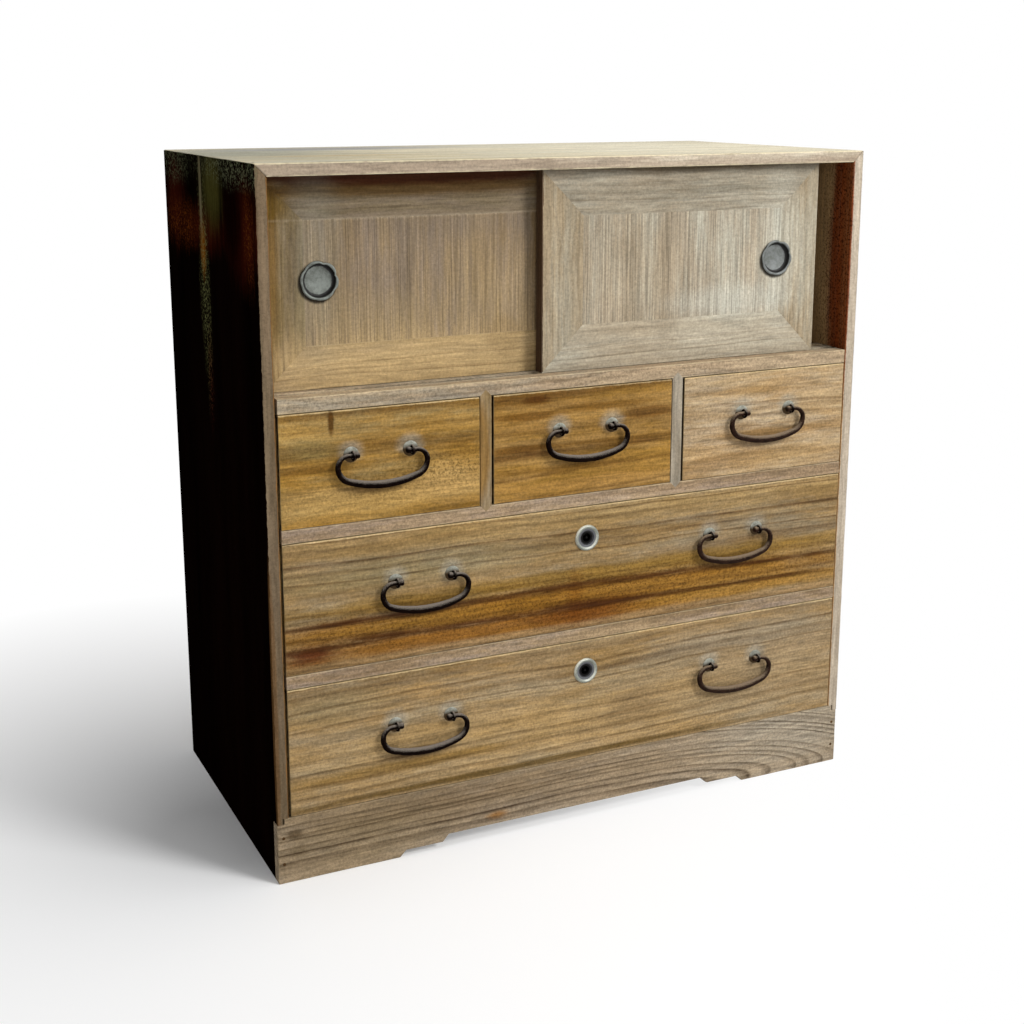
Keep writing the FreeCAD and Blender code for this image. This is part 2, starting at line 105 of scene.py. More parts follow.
def new_material(name):
    """A plain material, its node tree and its surface shader."""
    material = bpy.data.materials.new(name)
    material.use_nodes = True
    tree = material.node_tree
    return material, tree, tree.nodes["Principled BSDF"]


def stain(tree, colour, mask, over, strength=None):
    """Lays over, a hex code or a socket, on a colour where the mask is white."""
    if strength is not None:
        mask = add(tree, "Math", {0: mask, 1: strength}, operation="MULTIPLY")
    if isinstance(over, str):
        over = linear(over)
    return add(tree, "Mix", {0: mask, 6: colour, 7: over}, out=2, data_type="RGBA")


def edge_distance(tree, place, lo, hi):
    """Distance from a point on a board's surface to the nearest edge of its box."""
    middle = (lo + hi) / 2
    half = (hi - lo) / 2
    from_middle = add(tree, "VectorMath", {0: place, 1: middle}, operation="SUBTRACT")
    size = add(tree, "VectorMath", {0: from_middle}, operation="ABSOLUTE")
    inside = add(tree, "VectorMath", {0: half, 1: size}, operation="SUBTRACT")
    x, y, z = add(tree, "SeparateXYZ", {0: inside}).node.outputs
    low = add(tree, "Math", {0: x, 1: y}, operation="MINIMUM")
    high = add(tree, "Math", {0: x, 1: y}, operation="MAXIMUM")
    second = add(tree, "Math", {0: high, 1: z}, operation="MINIMUM")
    return add(tree, "Math", {0: low, 1: second}, operation="MAXIMUM")


def wood(name, lo, hi, grain, colours, ring_mm, seed, pith=(0.05, 0.06), tilt=(0.0, 0.0), line=0.5,
         fibre=0.22, streak=0.1, band=0.3, speck=0.24, grain_size=(38, 430), wander_mm=7, bow=None,
         patches=(), faces=(), marks=(), dots=(), worn=None, worn_mm=1.2, rough=(0.62, 0.85), bump=0.4,
         gloss=0.08, late_from=0.35):
    """Sawn softwood. Growth rings lie round a pith line beside the board, as the saw left them.

    grain names the axes along, across and through the board. colours are the pale early wood, the
    middle tone and the dark late wood, which starts at late_from in each ring. line, fibre, streak,
    band and speck are how strongly growth lines, fibres, streaks, dark bands and pores show, and
    grain_size is fibres per metre along and across. bow (mm, per metre) lifts the rings past a place.
    A patch is (colour, strength), a face (axis, side, two colours, strength, depth mm), a mark or a
    spread of dots (place mm, radii mm, colour, strength, softness). worn is (colour, strength).
    """
    material, tree, shader = new_material(name)
    place = add(tree, "TexCoord", out="Object")
    middle = (lo + hi) / 2
    local = add(tree, "VectorMath", {0: place, 1: middle}, operation="SUBTRACT")
    axes = dict(zip("XYZ", add(tree, "SeparateXYZ", {0: local}).node.outputs))
    board = add(tree, "CombineXYZ", {0: axes[grain[0]], 1: axes[grain[1]], 2: axes[grain[2]]})
    moved = add(tree, "VectorMath", {0: board, 1: (seed * 0.37, seed * 0.53, seed * 0.71)},
                operation="ADD")

    def speckle(where, scale, detail=2.0, roughness=0.6, shift=0.0, out=0):
        """Noise stretched along the grain; scale is in features per metre along and across."""
        spread = (scale[0], scale[1], scale[1])
        stretched = add(tree, "VectorMath", {0: where, 1: spread, 2: (shift, shift, shift)},
                        operation="MULTIPLY_ADD")
        return add(tree, "TexNoise", {"Vector": stretched, "Scale": 1.0, "Detail": detail,
                                      "Roughness": roughness}, out)

    # Growth rings, with the drift of a living tree.
    wander = speckle(moved, (3.2, 11), out="Color")
    centred = add(tree, "VectorMath", {0: wander, 1: (0.5, 0.5, 0.5)}, operation="SUBTRACT")
    drift = add(tree, "VectorMath", {0: centred, "Scale": 2 * wander_mm * MM}, operation="SCALE")
    flow = add(tree, "VectorMath", {0: moved, 1: drift}, operation="ADD")
    turned = add(tree, "Mapping", {"Vector": board, "Location": (0, -pith[0], -pith[1]),
                                   "Rotation": (0, tilt[1], tilt[0])})
    bent = add(tree, "VectorMath", {0: turned, 1: drift}, operation="ADD")
    flat = add(tree, "VectorMath", {0: bent, 1: (0, 1, 1)}, operation="MULTIPLY")
    radius = add(tree, "VectorMath", {0: flat}, out="Value", operation="LENGTH")
    if bow:
        past = add(tree, "Math", {0: axes[grain[0]], 1: bow[0] * MM}, operation="SUBTRACT")
        past = add(tree, "Math", {0: past, 1: 0.0}, operation="MAXIMUM")
        past = add(tree, "Math", {0: past, 1: 2.0}, operation="POWER")
        radius = add(tree, "Math", {0: past, 1: bow[1], 2: radius}, operation="MULTIPLY_ADD")
    even = add(tree, "Math", {0: radius, 1: ring_mm * MM}, operation="DIVIDE")
    years = add(tree, "TexNoise", {"W": even, "Scale": 0.45, "Detail": 1.0}, noise_dimensions="1D")
    ring = add(tree, "Math", {0: years, 1: 2.4, 2: even}, operation="MULTIPLY_ADD")
    growth = add(tree, "Math", {0: ring}, operation="FRACT")
    year = add(tree, "Math", {0: ring}, operation="FLOOR")
    season = add(tree, "TexWhiteNoise", {"W": year}, noise_dimensions="1D")
    late = add(tree, "ValToRGB", {0: growth})
    stops = late.node.color_ramp.elements
    stops[0].position = late_from
    stops[1].position = 0.86
    stops.new(1.0).color = (0.05, 0.05, 0.05, 1)
    depth = add(tree, "MapRange", {0: season, 3: 0.2, 4: 1.0})
    ragged = speckle(moved, (16, 120), 5.0, 0.78)
    broken = add(tree, "MapRange", {0: ragged, 1: 0.35, 2: 0.65, 3: 1.25, 4: 0.45})
    depth = add(tree, "Math", {0: depth, 1: broken}, operation="MULTIPLY")
    rings = add(tree, "Math", {0: late, 1: depth}, operation="MULTIPLY")

    # Slow changes of tone, broad dark bands and patches of another colour.
    fine = speckle(flow, grain_size, 3.0, 0.65)
    long = speckle(flow, (8, 240), 2.0)
    tone = speckle(flow, (2.4, 18), 3.0)
    broad = speckle(flow, (1.7, 60), 3.0, 0.5, 3.0)
    pale, mid, dark = colours
    tone_mask = add(tree, "MapRange", {0: tone, 1: 0.33, 2: 0.67})
    colour = stain(tree, linear(pale), tone_mask, mid)
    for number, (code, strength) in enumerate(patches):
        patch = speckle(flow, (6, 34), 6.0, 0.72, 7.0 + 5 * number)
        mask = add(tree, "MapRange", {0: patch, 1: 0.45, 2: 0.6, 4: strength})
        colour = stain(tree, colour, mask, code)
    bands = add(tree, "MapRange", {0: broad, 1: 0.5, 2: 0.68, 4: band})
    colour = stain(tree, colour, bands, dark)

    # Stained or faded faces, or faces painted as highlight and shade; the growth lines don't show through.
    jagged = add(tree, "TexNoise", {"Vector": place, "Scale": 150.0, "Detail": 3.0})
    ring_lines = drawn = add(tree, "Math", {0: rings, 1: line}, operation="MULTIPLY")
    for axis, side, codes, strength, depth_mm in faces:
        across = dict(zip("XYZ", add(tree, "SeparateXYZ", {0: place}).node.outputs))[axis]
        level = (lo if side < 0 else hi)["XYZ".index(axis)]
        gap = add(tree, "Math", {0: across, 1: level}, operation="SUBTRACT")
        gap = add(tree, "Math", {0: gap}, operation="ABSOLUTE")
        limit = add(tree, "Math", {0: jagged, 1: 2 * depth_mm * MM}, operation="MULTIPLY")
        near = add(tree, "Math", {0: gap, 1: limit}, operation="LESS_THAN")
        tones = stain(tree, linear(codes[0]), tone_mask, codes[1])
        colour = stain(tree, colour, near, tones, strength)
        bare = add(tree, "Math", {0: near, 1: -strength, 2: 1.0}, operation="MULTIPLY_ADD")
        drawn = add(tree, "Math", {0: bare, 1: ring_lines}, operation="MULTIPLY")

    # Marks and dots have ragged outlines, the softer the more so.
    def spot(centre_mm, radii, soft):
        around = add(tree, "VectorMath", {0: place, 1: Vector(centre_mm) * MM}, operation="SUBTRACT")
        spread = add(tree, "VectorMath", {0: around, 1: [1 / (r * MM) for r in radii]},
                     operation="MULTIPLY")
        reach = add(tree, "VectorMath", {0: spread}, out="Value", operation="LENGTH")
        uneven = add(tree, "Math", {0: ragged, 1: 2.4 * soft, 2: reach}, operation="MULTIPLY_ADD")
        return add(tree, "MapRange", {0: uneven, 1: 1 + 2.2 * soft, 2: 1 + 0.2 * soft},
                   interpolation_type="SMOOTHSTEP")

    for centre_mm, radii, code, strength, soft in marks:
        colour = stain(tree, colour, spot(centre_mm, radii, soft), code, strength)
    colour = stain(tree, colour, drawn, dark)
    pores = add(tree, "TexNoise", {"Vector": place, "Scale": 380.0, "Detail": 4.0,
                                   "Roughness": 0.8})
    for centre_mm, radii, code, strength, soft in dots:
        grains = add(tree, "MapRange", {0: pores, 1: 0.52, 2: 0.57, 4: strength})
        colour = stain(tree, colour, spot(centre_mm, radii, soft), code, grains)

    # Fibres about 2 mm across, longer streaks, open pores, and edges that hands have rubbed.
    first = add(tree, "MapRange", {0: fine, 1: 0.3, 2: 0.7, 3: 1 + fibre, 4: 1 - fibre})
    second = add(tree, "MapRange", {0: long, 1: 0.3, 2: 0.7, 3: 1 + streak, 4: 1 - streak})
    third = add(tree, "MapRange", {0: pores, 1: 0.3, 2: 0.7, 3: 1 + speck, 4: 1 - speck})
    shade = add(tree, "Math", {0: first, 1: second}, operation="MULTIPLY")
    shade = add(tree, "Math", {0: shade, 1: third}, operation="MULTIPLY")
    colour = add(tree, "VectorMath", {0: colour, "Scale": shade}, operation="SCALE")
    if worn:
        near = edge_distance(tree, place, lo, hi)
        far = add(tree, "Math", {0: jagged, 1: 2 * worn_mm * MM}, operation="MULTIPLY")
        mask = add(tree, "MapRange", {0: near, 1: 0.0, 2: far, 3: worn[1], 4: 0.0})
        colour = stain(tree, colour, mask, worn[0])

    height = add(tree, "Math", {0: fine, 1: -0.6, 2: rings}, operation="MULTIPLY_ADD")
    raised = add(tree, "Bump", {"Strength": bump, "Distance": 0.4 * MM, "Height": height})
    dull = add(tree, "MapRange", {0: long, 1: 0.35, 2: 0.65, 3: rough[0], 4: rough[1]})
    feed(tree, shader, {"Base Color": colour, "Roughness": dull, "Normal": raised,
                        "Specular IOR Level": gloss})
    return material


def show(bm, name, material, body, slot, *nodes):
    """Turns a finished bmesh into a piece that stands for CAD nodes and rides on their body."""
    mesh = bpy.data.meshes.new(name)
    bm.to_mesh(mesh)
    bm.free()
    if "custom_normal" in mesh.attributes:
        # It came with the copied node, and no longer fits the worn shape.
        mesh.attributes.remove(mesh.attributes["custom_normal"])
    mesh.materials.append(material)
    piece = bpy.data.objects.new(name, mesh)
    bpy.context.scene.collection.objects.link(piece)
    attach(piece, body)
    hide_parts(*nodes)
    return piece


def merge_flat(bm):
    """Joins a copied node's loose triangles into flat faces, without the shading that came with them."""
    bmesh.ops.remove_doubles(bm, verts=bm.verts, dist=0.002 * MM)
    bmesh.ops.dissolve_limit(bm, angle_limit=math.radians(1), verts=bm.verts, edges=bm.edges)
    for face in bm.faces:
        face.smooth = False


SHARP_ANGLE = 0.6
DENT_SPACING = 14 * MM


def eased(bm, ease_mm, wear_mm, seed, shortest_mm=7):
    """Planes off the outer edges longer than shortest_mm and knocks small dents into them."""
    sharp = [edge for edge in bm.edges
             if len(edge.link_faces) == 2 and edge.is_convex
             and edge.calc_face_angle() > SHARP_ANGLE and edge.calc_length() > shortest_mm * MM]
    for edge in sharp[:]:
        cuts = int(edge.calc_length() / DENT_SPACING)
        if cuts > 0:
            made = bmesh.ops.subdivide_edges(bm, edges=[edge], cuts=cuts)
            sharp += [part for part in made["geom_split"] if isinstance(part, bmesh.types.BMEdge)]
    sharp = list({edge for edge in sharp if edge.is_valid and len(edge.link_faces) == 2
                  and edge.calc_face_angle() > SHARP_ANGLE})
    made = bmesh.ops.bevel(bm, geom=sharp, offset=ease_mm * MM, segments=2, profile=0.5,
                           affect="EDGES", material=-1, clamp_overlap=False)
    cut_faces = set(made["faces"])
    ridge = [vert for vert in made["verts"] if vert.is_valid and set(vert.link_faces) <= cut_faces]
    bm.normal_update()
    for vert in ridge:
        where = vert.co * 90 + Vector((seed * 7.1, seed * 3.3, seed))
        dent = max(0.0, noise.noise(where) + 0.35 * noise.noise(where * 3.1))
        vert.co -= vert.normal * dent * wear_mm * MM


def board(node, material, body, slot, wear_mm, seed, ease_mm=0.8, shortest_mm=7):
    """A board: the node's own shape, with worn edges."""
    bm = bmesh.new()
    bm.from_mesh(frame["nodes"][node].data)
    merge_flat(bm)
    eased(bm, ease_mm, wear_mm, seed, shortest_mm)
    return show(bm, node + "_worn", material, body, slot, node)


case_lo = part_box("side_left")[0]
case_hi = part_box("side_right")[1]
face_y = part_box("plinth_front")[0].y
STAIN = ("#0e0503", "#050201")
INNER_STAIN = ("#8f6a3c", "#6b4a28")
lo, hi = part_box("side_left")
left_side = wood(
    "stained_cedar_side_left", lo, hi, "ZYX", ("#7e6e5a", "#6b5c47", "#3f2f1e"), pith=(0.02, 0.08),
    ring_mm=5, line=0.35, bump=0.3, rough=(0.7, 0.85), gloss=0.0, seed=1,
    faces=[("X", 1, INNER_STAIN, 0.9, 1.0), ("X", -1, STAIN, 1.0, 1.0)],
    marks=[((-306, -110, 582), (3, 40, 34), "#43150a", 0.85, 0.8),
           ((-306, 20, 574), (3, 60, 18), "#3c1308", 0.8, 0.8),
           ((-306, 120, 592), (3, 30, 34), "#3a1209", 0.8, 0.8),
           ((-306, -85, 590), (3, 30, 44), "#080201", 0.9, 0.6),
           ((-306, -18, 612), (3, 26, 30), "#49451f", 0.85, 0.7),
           ((-306, 24, 600), (3, 4, 48), "#7a6f54", 0.8, 0.5),
           ((-306, 22, 556), (3, 8, 22), "#7a4a12", 0.9, 0.6),
           ((-300, -153, 560), (4.5, 3, 90), "#7f6c56", 0.5, 0.2),
           ((-305, -153, 170), (3.4, 3, 130), "#5c4227", 0.7, 0.3)],
    dots=[((-306, 130, 636), (3, 60, 20), "#7d8160", 0.65, 0.7),
          ((-306, -90, 634), (3, 90, 14), "#8b8f6c", 0.6, 0.7),
          ((-306, 20, 525), (3, 14, 80), "#8d8f5c", 0.7, 0.7),
          ((-306, 14, 440), (3, 8, 40), "#5a2a1c", 0.6, 0.8),
          ((-306, 95, 574), (3, 60, 18), "#a0561c", 0.4, 0.8),
          ((-306, -132, 578), (3, 14, 34), "#8a4e1a", 0.4, 0.8)])
board("side_left", left_side, "carcass", "case_dark", wear_mm=1.1, seed=1)
lo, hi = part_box("side_right")
right_side = wood(
    "stained_cedar_side_right", lo, hi, "ZYX", ("#bbae9c", "#a79a88", "#7d705e"), pith=(-0.03, 0.07),
    ring_mm=5, line=0.3, bump=0.3, rough=(0.7, 0.85), gloss=0.0, seed=2,
    faces=[("X", -1, ("#c09a66", "#9c774c"), 0.95, 0.8), ("X", 1, STAIN, 1.0, 0.3)],
    marks=[((295, -142, 540), (2, 22, 150), "#702a07", 0.9, 0.3),
           ((295, -146, 540), (2, 5, 130), "#7a4a26", 0.5, 0.8),
           ((306, -40, 590), (3, 60, 60), "#43150a", 0.85, 0.9),
           ((306, 70, 540), (3, 9, 110), "#6a5830", 0.7, 0.6)],
    dots=[((306, 0, 640), (3, 200, 24), "#a3a08a", 0.9, 0.6),
          ((295, -135, 540), (2, 26, 150), "#170803", 0.8, 0.7),
          ((306, 0, 585), (3, 120, 60), "#5a2410", 0.6, 0.8)])
board("side_right", right_side, "carcass", "case_dark", ease_mm=0.5, wear_mm=1.0, seed=2)

# ---- Top board ----
# One wide board, mitred into the sides, with the doors' upper grooves ploughed under it. Its face is
# bleached pale grey by light and dust, its front edge is brown below and rubbed bright above.
lo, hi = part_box("top_board")
top_wood = wood(
    "bleached_cedar_top", lo, hi, "XYZ", ("#cfc5aa", "#bfb395", "#8f7d5a"), pith=(0.1, 0.16),
    tilt=(0.03, 0.0), ring_mm=8, line=0.5, band=0.35, patches=[("#b3b2a4", 0.6)], bump=0.3, seed=3,
    faces=[("Z", -1, ("#5a4028", "#3a2413"), 0.9, 1.0), ("Y", -1, ("#a59582", "#8c7b68"), 0.95, 1.6)],
    marks=[((-270, 30, 640), (90, 120, 8), "#85877a", 0.75, 0.8),
           ((-130, 110, 640), (130, 34, 8), "#85868a", 0.8, 0.7),
           ((-200, -40, 640), (80, 14, 8), "#b09a72", 0.6, 0.7),
           ((-190, -150, 640), (90, 5, 3), "#8c8270", 0.6, 0.6),
           ((190, 20, 640), (200, 160, 6), "#e6dfc9", 0.6, 0.8)],
    worn=("#eadfb8", 0.8), worn_mm=1.3)
board("top_board", top_wood, "carcass", "case_face", ease_mm=1.0, wear_mm=1.4, seed=3)

# ---- Inner boards ----
# The floor of the cabinet, the dust boards between the drawers and the boards of the back are plain
# sawn softwood that was never finished, so they are brown with age and rough.
INNER = ("#8a6b45", "#6b4f30", "#422c17")
for index, node in enumerate(("bottom_board", "dust_board_lower", "dust_board_upper", "cabinet_floor")):
    lo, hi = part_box(node)
    inner_wood = wood(
        "aged_cedar_" + node, lo, hi, "XYZ", INNER, pith=(0.08, 0.07), ring_mm=6,
        patches=[("#5c4a36", 0.4)], rough=(0.7, 0.92), seed=10 + index)
    board(node, inner_wood, "carcass", "case_inner", ease_mm=0.5, wear_mm=0.3, seed=10 + index)


def plank(bm, lo, hi):
    """A rectangular board between two corners."""
    made = bmesh.ops.create_cube(bm, size=1.0)
    size = [b - a for a, b in zip(lo, hi)]
    middle = [(a + b) / 2 for a, b in zip(lo, hi)]
    bmesh.ops.scale(bm, vec=size, verts=made["verts"])
    bmesh.ops.translate(bm, vec=middle, verts=made["verts"])


BACK_BOARDS = 4
lo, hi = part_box("back_boards")
back_width = (hi.x - lo.x) / BACK_BOARDS
for index in range(BACK_BOARDS):
    x0 = lo.x + index * back_width
    corner_lo = Vector((x0, lo.y, lo.z))
    corner_hi = Vector((x0 + back_width, hi.y, hi.z))
    bm = bmesh.new()
    plank(bm, corner_lo, corner_hi)
    eased(bm, ease_mm=0.7, wear_mm=0.8, seed=20 + index)
    back_wood = wood(
        "aged_cedar_back_%d" % index, corner_lo, corner_hi, "ZXY", ("#a08358", "#82663f", "#553b20"),
        pith=(0.02 * index - 0.03, 0.05), tilt=(0.02, 0.0), ring_mm=6, line=0.6,
        patches=[("#75644c", 0.6)], rough=(0.7, 0.92), worn=("#4a3823", 0.6), worn_mm=3, seed=20 + index,
        marks=[((x0 / MM + 30 + 25 * index, hi.y / MM, 40), (70, 4, 60), "#54402a", 0.6, 0.9),
               ((x0 / MM + 90 - 20 * index, hi.y / MM, 470), (50, 4, 130), "#a38c66", 0.5, 0.9)])
    show(bm, "back_board_%d" % index, back_wood, "carcass", "case_inner", "back_boards")

# ---- Rails, sill and dividers ----
# The strips that show between the drawers. They are bare softwood, greyed by dust and handling, with
# the sill's two grooves for the doors and the dividers' pointed ends let into them. Edges shorter
# than MORTISE_MM are those of the bolts' mortises, and stay crisp.
MORTISE_MM = 16
strip_looks = {
    "sill_track": (("#a99679", "#958067", "#4f3c26"), 2.6, "#8b8577", 0.6),
    "rail_upper": (("#a38d70", "#8f795f", "#574027"), 3.0, "#948579", 0.4),
    "rail_lower": (("#a08a6a", "#8c765b", "#574027"), 3.0, "#94867a", 0.4),
}
for index, (node, (colours, ring_mm, grey, line)) in enumerate(strip_looks.items()):
    lo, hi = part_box(node)
    strip_wood = wood(
        "bare_cedar_" + node, lo, hi, "XZY", colours, pith=(0.03, 0.09), ring_mm=ring_mm, line=line,
        band=0.4, fibre=0.3, speck=0.42, patches=[(grey, 0.65)], worn=("#d8c8a4", 0.45), worn_mm=0.9,
        seed=30 + index)
    board(node, strip_wood, "carcass", "case_face", ease_mm=0.6, wear_mm=1.2, seed=30 + index,
          shortest_mm=MORTISE_MM)
divider_looks = {
    "divider_left": ("#8f7955", "#7d6847", "#4a3317"),
    "divider_right": ("#a59b8b", "#928b7c", "#5b4e3b"),
}
for index, (node, colours) in enumerate(divider_looks.items()):
    lo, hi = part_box(node)
    divider_wood = wood(
        "bare_cedar_" + node, lo, hi, "ZXY", colours, pith=(0.02, 0.07), ring_mm=3, line=0.5, speck=0.2,
        patches=[("#8f8371", 0.6)], seed=40 + index,
        marks=[((lo.x / MM, lo.y / MM, 380), (9, 4, 44), "#80602f", 0.85, 0.3)] if index == 0 else ())
    board(node, divider_wood, "carcass", "case_face", ease_mm=0.08, wear_mm=0.2, seed=40 + index)

# ---- Plinths ----
# A board set over the ends of the sides, with a stepped cut-out between its feet, and another behind.
# In front the early wood has worn away from the hard rings, which stand up as strong dark lines.
lo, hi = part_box("plinth_front")
plinth_wood = wood(
    "weathered_cedar_plinth", lo, hi, "XZY", ("#9d8b72", "#87745a", "#33210f"), pith=(-0.027, 0.012),
    ring_mm=5, line=0.95, band=0.3, fibre=0.28, speck=0.35, wander_mm=3.5, bow=(60, 0.55),
    patches=[("#8f8270", 0.6)], bump=0.9, seed=50, worn=("#b9a888", 0.4), worn_mm=1.0,
    marks=[((-290, -152, 46), (8, 5, 5), "#241407", 0.9, 0.5),
           ((-286, -152, 30), (9, 5, 7), "#5a4c38", 0.6, 0.6),
           ((-200, -152, 52), (110, 5, 16), "#75624a", 0.6, 0.7),
           ((-90, -152, 22), (9, 5, 3), "#8a5a18", 0.7, 0.7),
           ((-225, -152, 30), (75, 5, 34), "#7b6a4d", 0.5, 0.8),
           ((250, -152, 50), (90, 5, 40), "#a8a08f", 0.5, 0.8)])
board("plinth_front", plinth_wood, "carcass", "plinth", ease_mm=1.0, wear_mm=1.5, seed=50)
lo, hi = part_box("plinth_back")
rear_plinth_wood = wood(
    "aged_cedar_plinth_back", lo, hi, "XZY", ("#9a7e57", "#7e623f", "#452f1a"), pith=(-0.05, 0.05),
    ring_mm=7, line=0.7, patches=[("#75644c", 0.6)], bump=0.5, seed=51)
board("plinth_back", rear_plinth_wood, "carcass", "plinth", ease_mm=0.8, wear_mm=0.9, seed=51)

# ---- Pegs ----
# Short hardwood pegs, driven through the boards and cut off flush; only their dark end grain shows.
peg_wood = wood("hardwood_pegs", case_lo, case_hi, "XYZ", ("#5b432b", "#46311d", "#2a1b0f"), ring_mm=1.5,
                line=0.4, gloss=0.0, faces=[("X", -1, STAIN, 1.0, 1.0), ("X", 1, STAIN, 1.0, 1.0)], seed=60)
pegs = frame["nodes"]["carcass_pegs"]
pegs.data.materials.clear()
pegs.data.materials.append(peg_wood)

# ---- Sliding doors ----
# Each door is a flush board of upright grain held in a mitred border. The face was scrubbed until
# the hard grain stood up like a comb, and has weathered to driftwood grey.
SIDES = ["stile_left", "rail_bottom", "stile_right", "rail_top"]


def border_member(bm, node, lo, hi, side):
    """Keeps what lies nearest to one side of a mitred border, in the order of SIDES."""
    bm.from_mesh(frame["nodes"][node].data)
    bm.normal_update()
    others = []
    for face in bm.faces:
        inside = face.calc_center_median() - face.normal * 0.1 * MM
        reaches = [inside.x - lo.x, inside.z - lo.z, hi.x - inside.x, hi.z - inside.z]
        if reaches.index(min(reaches)) != side:
            others.append(face)
    bmesh.ops.delete(bm, geom=others, context="FACES")
    merge_flat(bm)


def on_front(y, rows):
    """Marks on a face at y from rows of x, z, half width, half height, colour, strength, softness."""
    return [((x, y / MM, z), (half, 9, tall), *rest) for x, z, half, tall, *rest in rows]


SHOULDER = 0.5 * MM
# Where a pull's rim casts its painted shadow on the door: shifted down and to the left, a little wider.
RIM_SHADOW_SHIFT_MM = Vector((-1.7, 0, -1.9))
RIM_SHADOW_WIDER_MM = 0.3
door_looks = {
    "door_left": {
        "panel": ("#937f62", "#847055", "#54452f"), "grey": "#837567", "seed": 0, "border": 38,
        "comb": (0.22, 0.28),
        "rail_top": ("#7d6f56", "#685a43", "#43352a"), "rail_bottom": ("#b8a075", "#a58c63", "#735836"),
        "stile": ("#82724f", "#6f5f43", "#4c3b24"),
        "marks": [(-288, 560, 9, 110, "#76592b", 0.8, 0.5), (-284, 603, 14, 14, "#5f4712", 0.8, 0.5),
                  # Painted shade, with some grime: the top board's shadow across the top of the door, dark
                  # under it, olive below.
                  (-150, 616, 170, 7, "#5a4019", 0.8, 0.5), (-150, 629, 170, 11, "#3b1805", 0.95, 0.3),
                  (-150, 458, 170, 28, "#b89d70", 0.85, 0.8), (-70, 505, 50, 50, "#9f8861", 0.45, 0.9),
                  (-205, 500, 60, 22, "#a08a62", 0.4, 0.9), (-245, 560, 18, 70, "#7d7c70", 0.35, 0.8),
                  (-120, 585, 70, 12, "#75685a", 0.4, 0.9),
                  # Painted highlight: a thin pale line along the panel's top edge.
                  (-150, 590.5, 150, 1.2, "#a5967d", 0.35, 0.7),
                  # The first is painted shade, with some grime, where the right door's edge shadows this
                  # door.
                  (-20, 540, 17, 120, "#6a4b18", 0.7, 0.6), (-68, 480, 18, 18, "#8a734f", 0.5, 0.3)]},
    "door_right": {
        "panel": ("#aca08c", "#958874", "#564a36"), "grey": "#a5a293", "seed": 1, "border": 42,
        "comb": (0.34, 0.36),
        "rail_top": ("#9d927f", "#897e6b", "#5c4f3a"), "rail_bottom": ("#b1a793", "#9e937f", "#6d6049"),
        "stile": ("#a0927a", "#8c7b61", "#6a5a41"),
        # The first is painted shade: the top board's thin shadow along the top of the door.
        "marks": [(120, 630, 160, 6, "#4a3d2a", 0.85, 0.5), (44, 556, 12, 11, "#6b5f4e", 0.3, 0.6),
                  (95, 530, 14, 60, "#7d705c", 0.35, 0.6), (52, 520, 46, 80, "#98866c", 0.45, 0.8),
                  (222, 545, 22, 60, "#b9b6a7", 0.6, 0.6), (170, 500, 60, 14, "#b7b4a6", 0.6, 0.6)]},
}
for door, looks in door_looks.items():
    node_lo, node_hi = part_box(door + "_frame")
    lo = Vector((node_lo.x, node_lo.y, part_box("sill_track")[1].z + SHOULDER))
    hi = Vector((node_hi.x, node_hi.y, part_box("top_board")[0].z - SHOULDER))
    width = looks["border"] * MM
    pull_lo, pull_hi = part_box(door + "_pull")
    # A dark disc painted round each pull, down and to its left, is the rim's painted shadow on the door.
    rim_shadow_at = (pull_lo + pull_hi) / 2 / MM + RIM_SHADOW_SHIFT_MM
    rim_shadow_r = (pull_hi.x - pull_lo.x) / 2 / MM + RIM_SHADOW_WIDER_MM
    marks = on_front(lo.y, looks["marks"])
    marks += [((rim_shadow_at.x, lo.y / MM, rim_shadow_at.z), (rim_shadow_r, 4, rim_shadow_r), "#0c0805", 0.95, 0.08)]
    # Painted shade: the right door's left edge, which faces away from the light, is dark brown.
    shaded_edge = [("X", -1, ("#2e1708", "#3f2510"), 0.9, 1.0)] if door == "door_right" else []
    for side, name in enumerate(SIDES):
        piece_lo, piece_hi = lo.copy(), hi.copy()
        if name == "stile_left":
            piece_hi.x = lo.x + width
        elif name == "rail_bottom":
            piece_hi.z = lo.z + width
        elif name == "stile_right":
            piece_lo.x = hi.x - width
        else:
            piece_lo.z = hi.z - width
        upright = name.startswith("stile")
        seed = 70 + side + 4 * looks["seed"]
        member_wood = wood(
            "scrubbed_cedar_%s_%s" % (door, name), piece_lo, piece_hi, "ZXY" if upright else "XZY",
            looks["stile"] if upright else looks[name], pith=(0.03, 0.04), ring_mm=4.2, line=0.35,
            patches=[(looks["grey"], 0.5)], bump=0.6, worn=("#bfb49c", 0.15),
            worn_mm=0.6, faces=shaded_edge if name == "stile_left" else (), marks=marks, seed=seed)
        bm = bmesh.new()
        border_member(bm, door + "_frame", lo, hi, side)
        eased(bm, ease_mm=0.12, wear_mm=0.1, seed=seed)
        show(bm, "%s_%s" % (door, name), member_wood, door, "door", door + "_frame")

    panel_lo, panel_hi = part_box(door + "_panel")
    panel_wood = wood(
        "combed_cedar_%s_panel" % door, panel_lo, panel_hi, "ZXY", looks["panel"], pith=(0.3, 0.05),
        ring_mm=2.6, line=looks["comb"][0], fibre=looks["comb"][1], streak=0.12, wander_mm=1.5,
        grain_size=(14, 480), patches=[(looks["grey"], 0.7)], bump=0.9, worn=("#bfb49c", 0.15),
        worn_mm=0.6, marks=marks, seed=80 + looks["seed"])
    board(door + "_panel", panel_wood, door, "door", ease_mm=0.1, wear_mm=0.1, seed=80 + looks["seed"])

# ---- Door pulls ----
# Round finger pulls pressed from thin metal, dull silver-grey, with a rolled rim that years of use
# have left slightly lobed. Dirt has gathered where the cup meets the rim.


